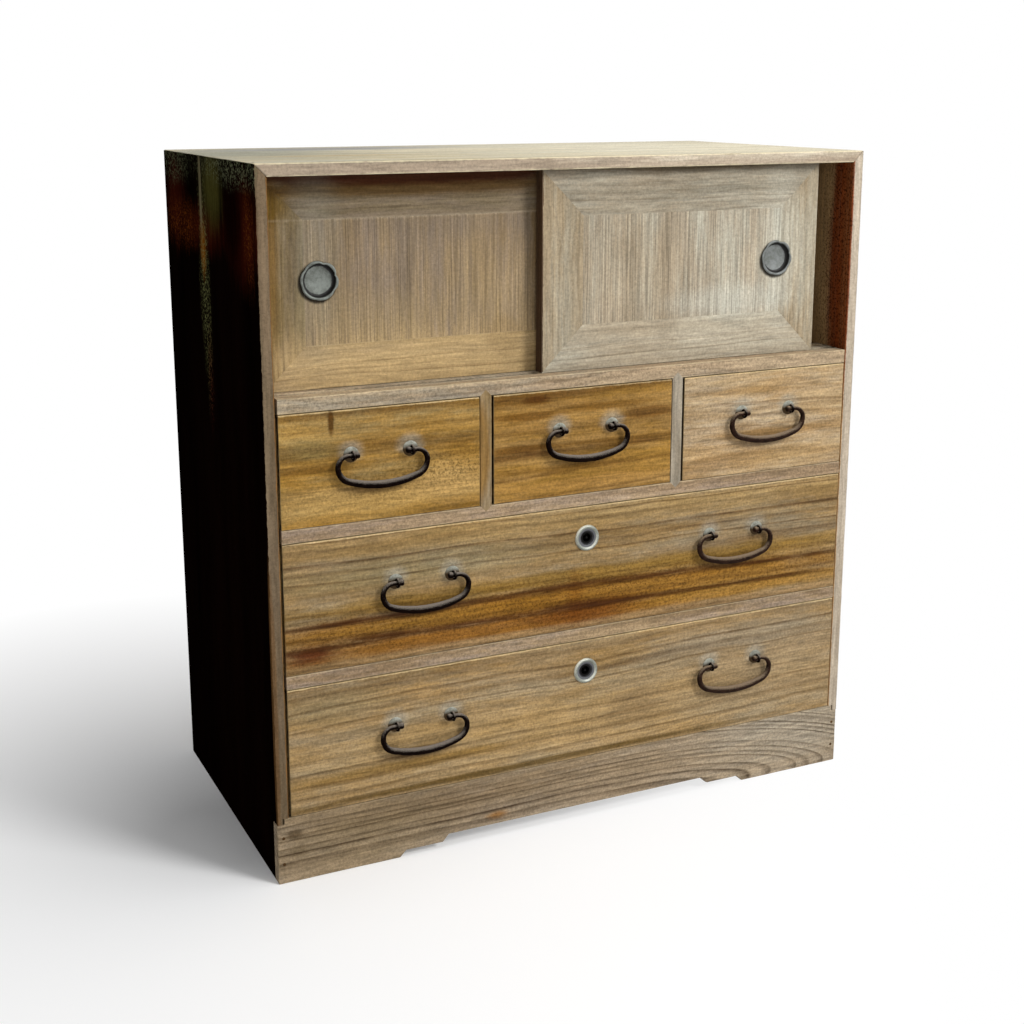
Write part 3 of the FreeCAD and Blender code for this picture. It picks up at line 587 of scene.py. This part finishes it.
def turned(bm, profile, centre, steps=64):
    """Spins a profile of (r, y) in mm round a line along Y."""
    verts = [bm.verts.new((centre[0] + r * MM, centre[1] + y * MM, centre[2])) for r, y in profile]
    edges = [bm.edges.new(pair) for pair in zip(verts, verts[1:])]
    bmesh.ops.spin(bm, geom=verts + edges, cent=centre, axis=(0, 1, 0), dvec=(0, 0, 0),
                   angle=2 * math.pi, steps=steps, use_merge=True)
    bmesh.ops.remove_doubles(bm, verts=bm.verts, dist=0.001 * MM)
    bmesh.ops.recalc_face_normals(bm, faces=bm.faces)


def metal(name, colours, metallic, rough, gloss, bump=0.3, pits=0.0, dirt_and_shade=None, dust_and_highlight=None, grime_and_shade=None):
    """Old metal in two patchy tones, with pits of a third.

    dirt_and_shade is (centre, from mm, to mm, behind mm, colour), a ring between two radii, behind a
    depth: dirt, and painted shade round the locks' keyholes. dust_and_highlight is (colour, strength,
    the way it faces) and lies on what faces that way: dust and a painted highlight on the bails, a
    painted highlight on the lock rings. grime_and_shade is (level mm, colour) and lies below that
    level, with an edge that wanders by 4 mm: grime, and painted shade below the plates' eyes.
    """
    material, tree, shader = new_material(name)
    place = add(tree, "TexCoord", out="Object")
    patch = add(tree, "TexNoise", {"Vector": place, "Scale": 180.0, "Detail": 5.0,
                                   "Roughness": 0.65})
    mask = add(tree, "MapRange", {0: patch, 1: 0.38, 2: 0.64})
    colour = stain(tree, linear(colours[0]), mask, colours[1])
    grit = add(tree, "TexNoise", {"Vector": place, "Scale": 1500.0, "Detail": 2.0})
    rust = add(tree, "MapRange", {0: grit, 1: 0.56, 2: 0.7, 4: pits})
    colour = stain(tree, colour, rust, colours[2])
    # Dust and a painted highlight on what faces a given way.
    if dust_and_highlight:
        outwards = add(tree, "TexCoord", out="Normal")
        up = add(tree, "VectorMath", {0: outwards, 1: dust_and_highlight[2]}, out="Value", operation="DOT_PRODUCT")
        dust_and_highlight_mask = add(tree, "Math", {0: grit, 1: 1.2, 2: up}, operation="MULTIPLY_ADD")
        dust_and_highlight_mask = add(tree, "MapRange", {0: dust_and_highlight_mask, 1: 0.8, 2: 1.5, 4: dust_and_highlight[1]})
        colour = stain(tree, colour, dust_and_highlight_mask, dust_and_highlight[0])
    # Grime, with painted shade, below a level.
    if grime_and_shade:
        level = add(tree, "SeparateXYZ", {0: place}, out="Z")
        level = add(tree, "Math", {0: patch, 1: 4 * MM, 2: level}, operation="MULTIPLY_ADD")
        low = add(tree, "MapRange", {0: level, 1: (grime_and_shade[0] + 6) * MM, 2: (grime_and_shade[0] + 2) * MM})
        colour = stain(tree, colour, low, grime_and_shade[1])
    shine = metallic
    # A darker ring behind a depth: dirt in the pulls' cups, a grey dish in the lock rings, painted shade
    # round the keyholes.
    if dirt_and_shade:
        centre, from_mm, to_mm, behind_mm, code = dirt_and_shade
        around = add(tree, "VectorMath", {0: place, 1: centre}, operation="SUBTRACT")
        flat = add(tree, "VectorMath", {0: around, 1: (1, 0, 1)}, operation="MULTIPLY")
        far = add(tree, "VectorMath", {0: flat}, out="Value", operation="LENGTH")
        wavy = add(tree, "Math", {0: patch, 1: 1.6 * MM, 2: far}, operation="MULTIPLY_ADD")
        outer = add(tree, "MapRange", {0: wavy, 1: from_mm * MM, 2: (from_mm + 0.8) * MM})
        within = add(tree, "MapRange", {0: wavy, 1: to_mm * MM, 2: (to_mm - 0.8) * MM})
        deep = add(tree, "SeparateXYZ", {0: around}, out="Y")
        deep = add(tree, "MapRange", {0: deep, 1: (behind_mm - 0.4) * MM, 2: (behind_mm + 0.4) * MM})
        mask = add(tree, "Math", {0: outer, 1: within}, operation="MULTIPLY")
        mask = add(tree, "Math", {0: mask, 1: deep}, operation="MULTIPLY")
        colour = stain(tree, colour, mask, code)
        shine = add(tree, "MapRange", {0: mask, 3: metallic, 4: 0.0})
    dull = add(tree, "MapRange", {0: patch, 1: 0.3, 2: 0.7, 3: rough[0], 4: rough[1]})
    height = add(tree, "Math", {0: grit, 1: 0.3, 2: patch}, operation="MULTIPLY_ADD")
    raised = add(tree, "Bump", {"Strength": bump, "Distance": 0.3 * MM, "Height": height})
    feed(tree, shader, {"Base Color": colour, "Roughness": dull, "Normal": raised,
                        "Specular IOR Level": gloss, "Metallic": shine})
    return material


def smooth(piece):
    """Shades a turned or forged piece as one rounded surface."""
    for face in piece.data.polygons:
        face.use_smooth = True


pull_tones = {
    "door_left": ("#787d77", "#5d605a", "#2e2e2a"),
    "door_right": ("#787b7a", "#626560", "#36352f"),
}
RIM_FROM = 15.3 * MM
for door, tones in pull_tones.items():
    lo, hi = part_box(door + "_pull")
    rim = (hi.x - lo.x) / 2 / MM
    centre = Vector(((lo.x + hi.x) / 2, lo.y, (lo.z + hi.z) / 2))
    depth = (hi.y - lo.y) / MM
    pull_metal = metal("pressed_white_metal_" + door, tones, 0.2, (0.45, 0.65), pits=0.4,
                       dirt_and_shade=(centre, 12.6, 16.2, 0.6, "#0e0c0a"), gloss=0.3)
    profile = [(0, depth), (15, depth), (15, 1.35), (rim - 0.5, 1.3), (rim, 0.9), (rim - 0.3, 0.35),
               (rim - 1.1, 0.02), (15.8, 0.15), (14.8, 0.7), (14.4, 1.6), (14.2, 3.2), (13.7, 4.3),
               (12.8, 4.8), (0, 4.6)]
    bm = bmesh.new()
    turned(bm, profile, centre)
    # The rim has six shallow lobes, cut deepest at its upper right.
    for vert in bm.verts:
        side = Vector((vert.co.x - centre.x, 0, vert.co.z - centre.z))
        if side.length > RIM_FROM:
            angle = math.atan2(side.z, side.x)
            petal = abs(math.cos(3 * angle + 0.6 + 0.3 * math.sin(2 * angle))) ** 0.6
            vert.co -= side.normalized() * (1 - petal) * (1.6 + 0.9 * math.sin(angle + 0.8)) * MM
    smooth(show(bm, door + "_finger_pull", pull_metal, door, "pull", door + "_pull"))

# ---- Drawers ----
# Each front is one board of flat-sawn softwood, golden brown where hands have kept the dust off. Thin
# sides, a back and a bottom lap into it behind.
drawer_looks = {
    "small_left": dict(
        colours=("#a08046", "#8a6833", "#4b3010"), pith=(-0.04, 0.07), tilt=(0.02, 0), ring_mm=11, line=0.6,
        patches=[("#8a7c58", 0.6), ("#85601c", 0.6)],
        marks=[(-246, 421, 2.6, 12, "#4a2d07", 0.9, 0.4), (-262, 397, 26, 9, "#7c6c42", 0.6, 0.6),
               (-262, 379, 40, 2.5, "#5f4112", 0.7, 0.5), (-200, 350, 110, 14, "#b8965a", 0.6, 0.6),
               (-135, 358, 36, 18, "#ab8a54", 0.6, 0.6)],
        dots=[(-132, 370, 36, 13, "#4f3712", 0.45, 0.8), (-185, 362, 60, 14, "#6b5026", 0.3, 0.7)]),
    "small_middle": dict(
        colours=("#9d793f", "#825f29", "#412406"), pith=(0.02, 0.05), tilt=(-0.04, 0), ring_mm=11, line=0.7,
        patches=[("#8a6728", 0.6), ("#a58452", 0.5)],
        marks=[(-50, 423, 14, 4, "#4a2a06", 0.85, 0.5), (-60, 408, 36, 4.5, "#5b3a09", 0.8, 0.5),
               (20, 411, 50, 3.5, "#61400f", 0.7, 0.6), (70, 402, 30, 6, "#573710", 0.75, 0.5),
               (-66, 378, 34, 3.5, "#5b3a09", 0.8, 0.5), (30, 378, 60, 2.5, "#64430f", 0.6, 0.6),
               (-30, 356, 60, 3, "#64430f", 0.6, 0.6), (0, 340, 90, 5, "#99733c", 0.5, 0.6)]),
    "small_right": dict(
        colours=("#b59f7c", "#9f8662", "#644828"), pith=(-0.05, 0.06), tilt=(0.03, 0), ring_mm=10, line=0.6,
        patches=[("#a19480", 0.6), ("#987544", 0.5)],
        marks=[(215, 369, 80, 4, "#7b5c30", 0.6, 0.6), (180, 412, 60, 4, "#8a6b3c", 0.5, 0.6),
               (250, 345, 50, 8, "#a88a5c", 0.5, 0.6)]),
    "upper": dict(
        colours=("#967d59", "#826a48", "#3f2409"), pith=(-0.09, 0.05), tilt=(0.01, 0), ring_mm=9.5,
        line=0.75, patches=[("#857b66", 0.6), ("#8c6e3d", 0.5)],
        marks=[(0, 306, 330, 9, "#a08453", 0.6, 0.6), (-170, 280, 130, 14, "#7d7354", 0.5, 0.7),
               (0, 249, 330, 8, "#7d5e20", 0.8, 0.7), (0, 229, 330, 12, "#7f5612", 0.9, 0.5),
               (-70, 210, 225, 9, "#7c4f0e", 0.85, 0.6), (190, 212, 150, 8, "#936c2a", 0.75, 0.6),
               (-170, 229, 60, 5, "#8a6526", 0.5, 0.8), (60, 231, 70, 5, "#8f682c", 0.5, 0.8),
               (180, 226, 90, 4, "#946e34", 0.5, 0.8), (0, 199.5, 330, 4, "#927650", 0.75, 0.5),
               (-8, 228, 7, 22, "#6d4109", 0.5, 0.8), (5, 212, 45, 9, "#592a05", 0.7, 0.8),
               (-270, 213, 25, 7, "#4a1e06", 0.9, 0.7)]
        + [(x, z, half, thick, "#391b03", 0.85, 0.8) for x, z, half, thick in (
            (-245, 238, 55, 2.0), (-150, 239.5, 75, 2.6), (-20, 240.5, 70, 3.2), (90, 238, 60, 2.4),
            (215, 235, 90, 2.0), (-255, 217, 40, 2.4), (-205, 221, 40, 3.2), (-120, 219, 60, 2.6),
            (-10, 220, 50, 3.8), (55, 218, 50, 2.8), (180, 217, 100, 2.0))],
        dots=[(0, 226, 330, 24, "#4a2608", 0.4, 0.6)]),
    "lower": dict(
        colours=("#9e8561", "#897352", "#4b3418"), pith=(-0.08, 0.06), tilt=(-0.012, 0), ring_mm=9.5,
        line=0.75, patches=[("#8a7f69", 0.6), ("#8d6b33", 0.5)],
        marks=[(-40, 105, 260, 32, "#a98d5f", 0.5, 0.7), (60, 108, 30, 20, "#6f5b40", 0.5, 0.6),
               (257, 141, 5, 2, "#4d4132", 0.8, 0.5), (-180, 92, 110, 5, "#7a5a1d", 0.6, 0.6),
               (-60, 68, 260, 3, "#4f3a0f", 0.8, 0.5), (-250, 160, 50, 14, "#7c6c4b", 0.6, 0.6),
               (180, 160, 100, 12, "#8c8372", 0.5, 0.6), (225, 120, 110, 50, "#98866a", 0.45, 0.8)]),
}
SIDE_T = 7 * MM
BACK_DROP = 4 * MM
EYE_HALF = 27.5 * MM
for index, (name, looks) in enumerate(drawer_looks.items()):
    body = "drawer_" + name
    lo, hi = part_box(name + "_front")
    looks["marks"] = on_front(lo.y, looks["marks"])
    looks["dots"] = on_front(lo.y, looks.get("dots", []))
    hung = [joint for joint in frame["joints"] if joint["parent"] == body and joint["type"] == "hinge"]
    for joint in hung:
        x, y, z = Vector(joint["pos_m"]) / MM
        belly_shadow_strength = 0.7 if x < 0 else 0.4
        # Painted shadow, with some rust stain, in a line under each bail; the wood is grey round each eye.
        looks["marks"].append(((x - 4, lo.y / MM, z - 31), (30, 4, 4.5), "#2c1208", belly_shadow_strength, 0.6))
        for eye_x in (x - EYE_HALF / MM, x + EYE_HALF / MM):
            looks["marks"].append(((eye_x, lo.y / MM, z + 4), (11, 4, 9), "#9d998b", 0.45, 0.5))
    # Each front's top face is painted pale, as wear and a highlight from above; its left end is near black,
    # painted shade in the gap beside it.
    front_wood = wood(
        "planed_cedar_%s_front" % name, lo, hi, "XZY", band=0.5, fibre=0.3, speck=0.36, late_from=0.55,
        worn=("#cdb27e", 0.35), worn_mm=0.8,
        faces=[("Z", 1, ("#dcc598", "#c9b083"), 0.6, 1.0), ("X", -1, ("#0d0804", "#1a1008"), 0.95, 0.5)],
        seed=90 + index, **looks)
    board(name + "_front", front_wood, body, "drawer", ease_mm=0.7, wear_mm=0.9, seed=90 + index)

    inside_wood = wood(
        "unfinished_cedar_%s_box" % name, lo, hi, "YZX", ("#c2a777", "#a88a5a", "#7b5d37"),
        pith=(0.05, 0.05), ring_mm=6, line=0.45, rough=(0.7, 0.9), seed=100 + index)
    blo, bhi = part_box(name + "_box")
    bottom_lo, bottom_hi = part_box(name + "_bottom")
    bm = bmesh.new()
    for x0, x1, lap_x0, lap_x1 in ((blo.x, blo.x + SIDE_T, blo.x, bottom_lo.x),
                                   (bhi.x - SIDE_T, bhi.x, bottom_hi.x, bhi.x)):
        plank(bm, (x0, blo.y, bottom_hi.z), (x1, bhi.y, bhi.z))
        plank(bm, (lap_x0, blo.y, blo.z), (lap_x1, bhi.y, bottom_hi.z))
    plank(bm, (blo.x + SIDE_T, bhi.y - SIDE_T, bottom_hi.z), (bhi.x - SIDE_T, bhi.y, bhi.z - BACK_DROP))
    eased(bm, ease_mm=0.4, wear_mm=0.3, seed=100 + index)
    show(bm, name + "_sides", inside_wood, body, "drawer_inner", name + "_box")
    bottom_wood = wood(
        "unfinished_cedar_%s_bottom" % name, bottom_lo, bottom_hi, "XYZ", ("#c6ab7c", "#ad8f60", "#80623b"),
        pith=(0.08, 0.06), ring_mm=6, line=0.45, rough=(0.7, 0.9), seed=110 + index)
    board(name + "_bottom", bottom_wood, body, "drawer_inner", ease_mm=0.4, wear_mm=0.2, seed=110 + index)

# ---- Handles ----
# Curled bail handles forged from iron rod that swells towards the belly, hung in split-tail eyes
# over small round plates. The iron is black with old rust, the plates are dull grey.
UP = (0, 0, 1)
# Both irons are pale on their upper faces, with dust and a painted highlight; the paler, browner one for
# handles on the right is also painted lighter for the stronger light there.
iron = metal("forged_black_iron", ("#0c0503", "#040101", "#36190c"), 0.0, (0.55, 0.75), bump=0.7, pits=0.3,
             dust_and_highlight=("#92887d", 0.65, UP), gloss=0.02)
dusty_lit_iron = metal("forged_dusty_iron", ("#281810", "#120905", "#4d2c1a"), 0.0, (0.55, 0.75), bump=0.7,
                   pits=0.3, dust_and_highlight=("#8a7863", 0.8, UP), gloss=0.05)
LIT_DUSTY_FROM = 60 * MM
ROD_END = 2.0 * MM
ROD_BELLY = 3.6 * MM
SWELL = 1.2
KNOB = [2.5 * MM, 3.0 * MM, 2.9 * MM]
HAMMERED = 0.45 * MM
TIP_IN = 5.6 * MM
TO_BEND = 4.0 * MM
BEND_R = 10 * MM
TURN_R = 13.4 * MM
RISE = math.radians(19)
EYE_RING = 3.5 * MM
EYE_WIRE = 1.1 * MM
TAIL_HALF = 7 * MM
TAIL_T = 0.9 * MM
PLATE_PROFILE = [(1.2, 0), (7, 0), (7, -0.25), (6.3, -0.5), (3.5, -0.8), (1.2, -0.8), (1.2, 0)]


def half_rod():
    """Stations (u, v, angle) along half a bail, from its tip to the middle of its belly."""
    bend_u = EYE_HALF + TO_BEND
    reach = bend_u + BEND_R
    belly = TURN_R + (reach - TURN_R) / math.sin(RISE)
    bottom = BEND_R + TURN_R * math.cos(RISE) + belly * (1 - math.cos(RISE))
    stations = [(EYE_HALF - inwards, 0, 0) for inwards in (TIP_IN, TIP_IN - MM, 2.6 * MM, 1.5 * MM, 0)]
    for step in range(13):
        angle = step / 12 * math.pi / 2
        stations.append((bend_u + BEND_R * math.sin(angle), BEND_R * (1 - math.cos(angle)), angle))
    for step in range(1, 10):
        angle = step / 9 * (math.pi / 2 - RISE)
        stations.append((reach - TURN_R + TURN_R * math.cos(angle), BEND_R + TURN_R * math.sin(angle),
                         math.pi / 2 + angle))
    for step in range(1, 11):
        angle = RISE * (1 - step / 10)
        stations.append((belly * math.sin(angle), bottom - belly * (1 - math.cos(angle)), math.pi - angle))
    return stations


def rod(bm, stations, centre, seed):
    """Draws a round bar through stations (x, z, angle, radius) and hammers it."""
    made = bmesh.ops.create_circle(bm, segments=20, radius=1.0)
    ring = made["verts"]
    first = list(ring)
    edges = list({edge for vert in ring for edge in vert.link_edges})
    upright = Matrix.Rotation(math.pi / 2, 4, "Y")
    before = Matrix.Identity(4)
    for number, (x, z, angle, radius) in enumerate(stations):
        if number:
            made = bmesh.ops.extrude_edge_only(bm, edges=edges)
            ring = [part for part in made["geom"] if isinstance(part, bmesh.types.BMVert)]
            edges = [part for part in made["geom"] if isinstance(part, bmesh.types.BMEdge)
                     and all(vert in ring for vert in part.verts)]
        spot = Matrix.Translation((centre[0] + x, centre[1], centre[2] + z))
        place = spot @ Matrix.Rotation(angle, 4, "Y") @ upright @ Matrix.Scale(radius, 4)
        bmesh.ops.transform(bm, matrix=place @ before.inverted(), verts=ring)
        before = place
    for end in (first, ring):
        bm.faces.new(end)
    bmesh.ops.recalc_face_normals(bm, faces=bm.faces)
    bm.normal_update()
    for vert in bm.verts:
        where = vert.co * 260 + Vector((seed, 0, 0))
        vert.co -= vert.normal * max(0.0, noise.noise(where)) * HAMMERED


def bail(name, body, centre, seed):
    """One handle, with a forged knob at each tip; those to the right are paler, with more dust and painted
    light.
    """
    half = half_rod()
    lengths = [-TIP_IN - TO_BEND]
    for before, after in zip(half, half[1:]):
        lengths.append(lengths[-1] + math.hypot(after[0] - before[0], after[1] - before[1]))
    shares = [max(0.0, part) / lengths[-1] for part in lengths]
    radii = [ROD_END + (ROD_BELLY - ROD_END) * math.sin(share * math.pi / 2) ** SWELL for share in shares]
    radii[:len(KNOB)] = KNOB
    stations = [(u, -v, angle, radius) for (u, v, angle), radius in zip(half, radii)]
    stations += [(-u, -v, -angle, radius) for (u, v, angle), radius in list(zip(half, radii))[-2::-1]]
    bm = bmesh.new()
    rod(bm, stations, centre, seed)
    rod_metal = dusty_lit_iron if centre[0] > LIT_DUSTY_FROM else iron
    smooth(show(bm, name + "_handle", rod_metal, body, "iron", name))


def ring_and_tail(bm, x, y, z, inside_y):
    """A split-tail eye: a ring in front, its tail through the drawer front, clinched inside."""
    made = bmesh.ops.create_circle(bm, segments=14, radius=EYE_WIRE)
    verts = made["verts"]
    bmesh.ops.translate(bm, vec=(x, y + EYE_RING, z), verts=verts)
    edges = list({edge for vert in verts for edge in vert.link_edges})
    bmesh.ops.spin(bm, geom=verts + edges, cent=(x, y, z), axis=(1, 0, 0), dvec=(0, 0, 0),
                   angle=2 * math.pi, steps=32, use_merge=True)
    tail = bmesh.ops.create_cone(bm, cap_ends=True, segments=14, radius1=EYE_WIRE, radius2=EYE_WIRE,
                                 depth=inside_y - y - EYE_RING)
    middle = (x, (inside_y + y + EYE_RING) / 2, z)
    bmesh.ops.rotate(bm, cent=(0, 0, 0), matrix=Matrix.Rotation(math.pi / 2, 3, "X"), verts=tail["verts"])
    bmesh.ops.translate(bm, vec=middle, verts=tail["verts"])
    plank(bm, (x - EYE_WIRE, inside_y, z - TAIL_HALF), (x + EYE_WIRE, inside_y + TAIL_T, z + TAIL_HALF))


for set_index, name in enumerate(drawer_looks):
    body = "drawer_" + name
    bails = [name + "_bail"] if name.startswith("small") else [name + "_bail_left", name + "_bail_right"]
    inside_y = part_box(name + "_front")[1].y
    plate_lo, plate_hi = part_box(name + "_plates")
    plate_z = (plate_lo.z + plate_hi.z) / 2 / MM
    # The plates darken below their middle: grime, and painted shade below the eyes.
    plate_metal = metal("tinned_iron_plate_" + name, ("#a3a499", "#7e7e73", "#453c2d"), 0.1, (0.5, 0.7),
                        bump=0.4, pits=0.6, grime_and_shade=(plate_z, "#43331f"), gloss=0.1)
    eyes = bmesh.new()
    plates = bmesh.new()
    for bail_index, node in enumerate(bails):
        joint = next(j for j in frame["joints"] if j["child"] == node)
        centre = joint["pos_m"]
        bail(node, node, centre, set_index * 2 + bail_index)
        for sign in (-1, 1):
            x = centre[0] + sign * EYE_HALF
            ring_and_tail(eyes, x, centre[1], centre[2], inside_y)
            one = bmesh.new()
            turned(one, PLATE_PROFILE, (x, face_y, centre[2]), 40)
            spare = bpy.data.meshes.new("plate")
            one.to_mesh(spare)
            one.free()
            plates.from_mesh(spare)
            bpy.data.meshes.remove(spare)
    bmesh.ops.recalc_face_normals(eyes, faces=eyes.faces)
    smooth(show(eyes, name + "_split_eyes", iron, body, "iron", name + "_eyes"))
    smooth(show(plates, name + "_round_plates", plate_metal, body, "washer", name + "_plates"))

# ---- Locks ----
# A turned metal ring round a deep keyhole, with a painted highlight above on its left, and behind it an iron
# case let into the drawer front, painted black round the keyhole as shade; its bolt rises into the rail
# above.
DISH = 7.2
# The way the rings' painted highlight faces: up and to the left.
HIGHLIGHT_WAY = (-0.75, 0, 0.66)
for name in ("upper", "lower"):
    lo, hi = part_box(name + "_escutcheon")
    centre = ((lo.x + hi.x) / 2, hi.y, (lo.z + hi.z) / 2)
    outer = (hi.x - lo.x) / 2 / MM
    thick = (hi.y - lo.y) / MM
    profile = [(DISH, 0), (outer, 0), (outer, -0.5), (outer - 0.5, -1.5), (outer - 1.3, -thick),
               (outer - 2.2, 0.3 - thick), (9.7, -0.9), (8.6, -0.6), (7.6, -0.55), (DISH, -0.3), (DISH, 0)]
    ring_metal = metal("tarnished_nickel_ring_" + name, ("#979b91", "#73766d", "#3f3d34"), 0.2, (0.35, 0.55),
                       pits=0.5, dirt_and_shade=(Vector(centre), 5.0, 10.4, -10, "#58595c"),
                       dust_and_highlight=("#e4e4d6", 0.9, HIGHLIGHT_WAY), gloss=0.3)
    bm = bmesh.new()
    turned(bm, profile, centre, 64)
    smooth(show(bm, name + "_lock_ring", ring_metal, "drawer_" + name, "escutcheon", name + "_escutcheon"))
    # The case is painted black out to 7.4 mm round the keyhole: painted shade in the deep hole.
    lock_iron = metal("dark_lock_iron_" + name, ("#4a4a4c", "#343335", "#2b1c12"), 0.0, (0.4, 0.6), gloss=0.1,
                      dirt_and_shade=(Vector(centre), -2.0, 7.4, -100, "#060504"))
    for node in (name + "_lock_case", name + "_lock_bolt"):
        cad = frame["nodes"][node]
        cad.data.materials.clear()
        cad.data.materials.append(lock_iron)

# ---- Floor, light and camera ----
# A plain pale floor, shaded beside the chest's left and fading from there into a white room, soft
# lamps, the strongest in front on the right, and a camera a little above the chest, to its left.
FLOOR_HALF = 30
WHITE = linear("#ffffff")
floor_mesh = bpy.data.meshes.new("floor")
bm = bmesh.new()
bmesh.ops.create_grid(bm, x_segments=1, y_segments=1, size=FLOOR_HALF)
bm.to_mesh(floor_mesh)
bm.free()
floor = bpy.data.objects.new("floor", floor_mesh)
bpy.context.scene.collection.objects.link(floor)
floor_paint, tree, shader = new_material("matt_white_floor")
feed(tree, shader, {"Base Color": linear("#f6f6f6"), "Roughness": 0.9})
floor_mesh.materials.append(floor_paint)


def seen_directly(tree):
    """White where the eye, a reflection or a view through something meets it."""
    rays = add(tree, "LightPath").node.outputs
    seen = add(tree, "Math", {0: rays["Is Camera Ray"], 1: rays["Is Glossy Ray"]}, operation="MAXIMUM")
    return add(tree, "Math", {0: seen, 1: rays["Is Transmission Ray"]}, operation="MAXIMUM")


SHADE_MIDDLE = (-0.335, -0.037, 0)
SHADE_SHAPE = (1, 0.83, 1)
SHADE_FROM = 0.05
WHITE_FROM = 0.62
place = add(tree, "TexCoord", out="Object")
from_middle = add(tree, "VectorMath", {0: place, 1: SHADE_MIDDLE}, operation="SUBTRACT")
longer_back = add(tree, "VectorMath", {0: from_middle, 1: SHADE_SHAPE}, operation="MULTIPLY")
away = add(tree, "VectorMath", {0: longer_back}, out="Value", operation="LENGTH")
far = add(tree, "MapRange", {0: away, 1: SHADE_FROM, 2: WHITE_FROM})
white_part = add(tree, "Math", {0: far, 1: seen_directly(tree)}, operation="MULTIPLY")
glow = add(tree, "Emission", {"Color": WHITE, "Strength": 1.0})
faded = add(tree, "MixShader", {0: white_part, 1: shader.outputs[0], 2: glow})
feed(tree, tree.nodes["Material Output"], {"Surface": faded})

world = bpy.data.worlds.new("white_room")
bpy.context.scene.world = world
world.use_nodes = True
tree = world.node_tree
tree.nodes.clear()
ambient = add(tree, "Background", {"Color": WHITE, "Strength": 0.22})
white = add(tree, "Background", {"Color": WHITE, "Strength": 1.0})
room = add(tree, "MixShader", {0: seen_directly(tree), 1: ambient, 2: white})
add(tree, "OutputWorld", {"Surface": room})

middle = (cad_box[0] + cad_box[1]) / 2


def lamp(name, place, size, watts):
    """A round soft lamp that points at the middle of the chest."""
    data = bpy.data.lights.new(name, "AREA")
    data.shape = "DISK"
    data.size = size
    data.energy = watts
    light = bpy.data.objects.new(name, data)
    light.location = place
    light.rotation_mode = "QUATERNION"
    light.rotation_quaternion = (middle - Vector(place)).to_track_quat("-Z", "Y")
    bpy.context.scene.collection.objects.link(light)


lamp("soft_key", (1.1, -1.8, 1.7), 0.8, 44)
lamp("soft_top", (0.2, -0.5, 2.4), 1.4, 22)
lamp("soft_fill", (-0.8, -2.0, 0.9), 1.0, 6)

HEIGHT = case_hi.z
EYE = Vector((-0.5436, -1.9024, 1.0928)) * HEIGHT
TURN = 0.4443
DROP = 0.2205
LENS_PX = 1525.1
IMAGE_PX = 1024
LENS_AXIS_Y = 430
SENSOR = 36
camera_data = bpy.data.cameras.new("camera")
camera_data.sensor_width = SENSOR
camera_data.lens = LENS_PX / IMAGE_PX * SENSOR
camera_data.shift_y = (LENS_AXIS_Y - IMAGE_PX / 2) / IMAGE_PX
camera = bpy.data.objects.new("camera", camera_data)
camera.location = Vector((case_lo.x, face_y, 0)) + EYE
camera.rotation_euler = (math.pi / 2 - DROP, 0, -TURN)
bpy.context.scene.collection.objects.link(camera)
bpy.context.scene.camera = camera
bpy.context.scene.view_settings.view_transform = "Standard"
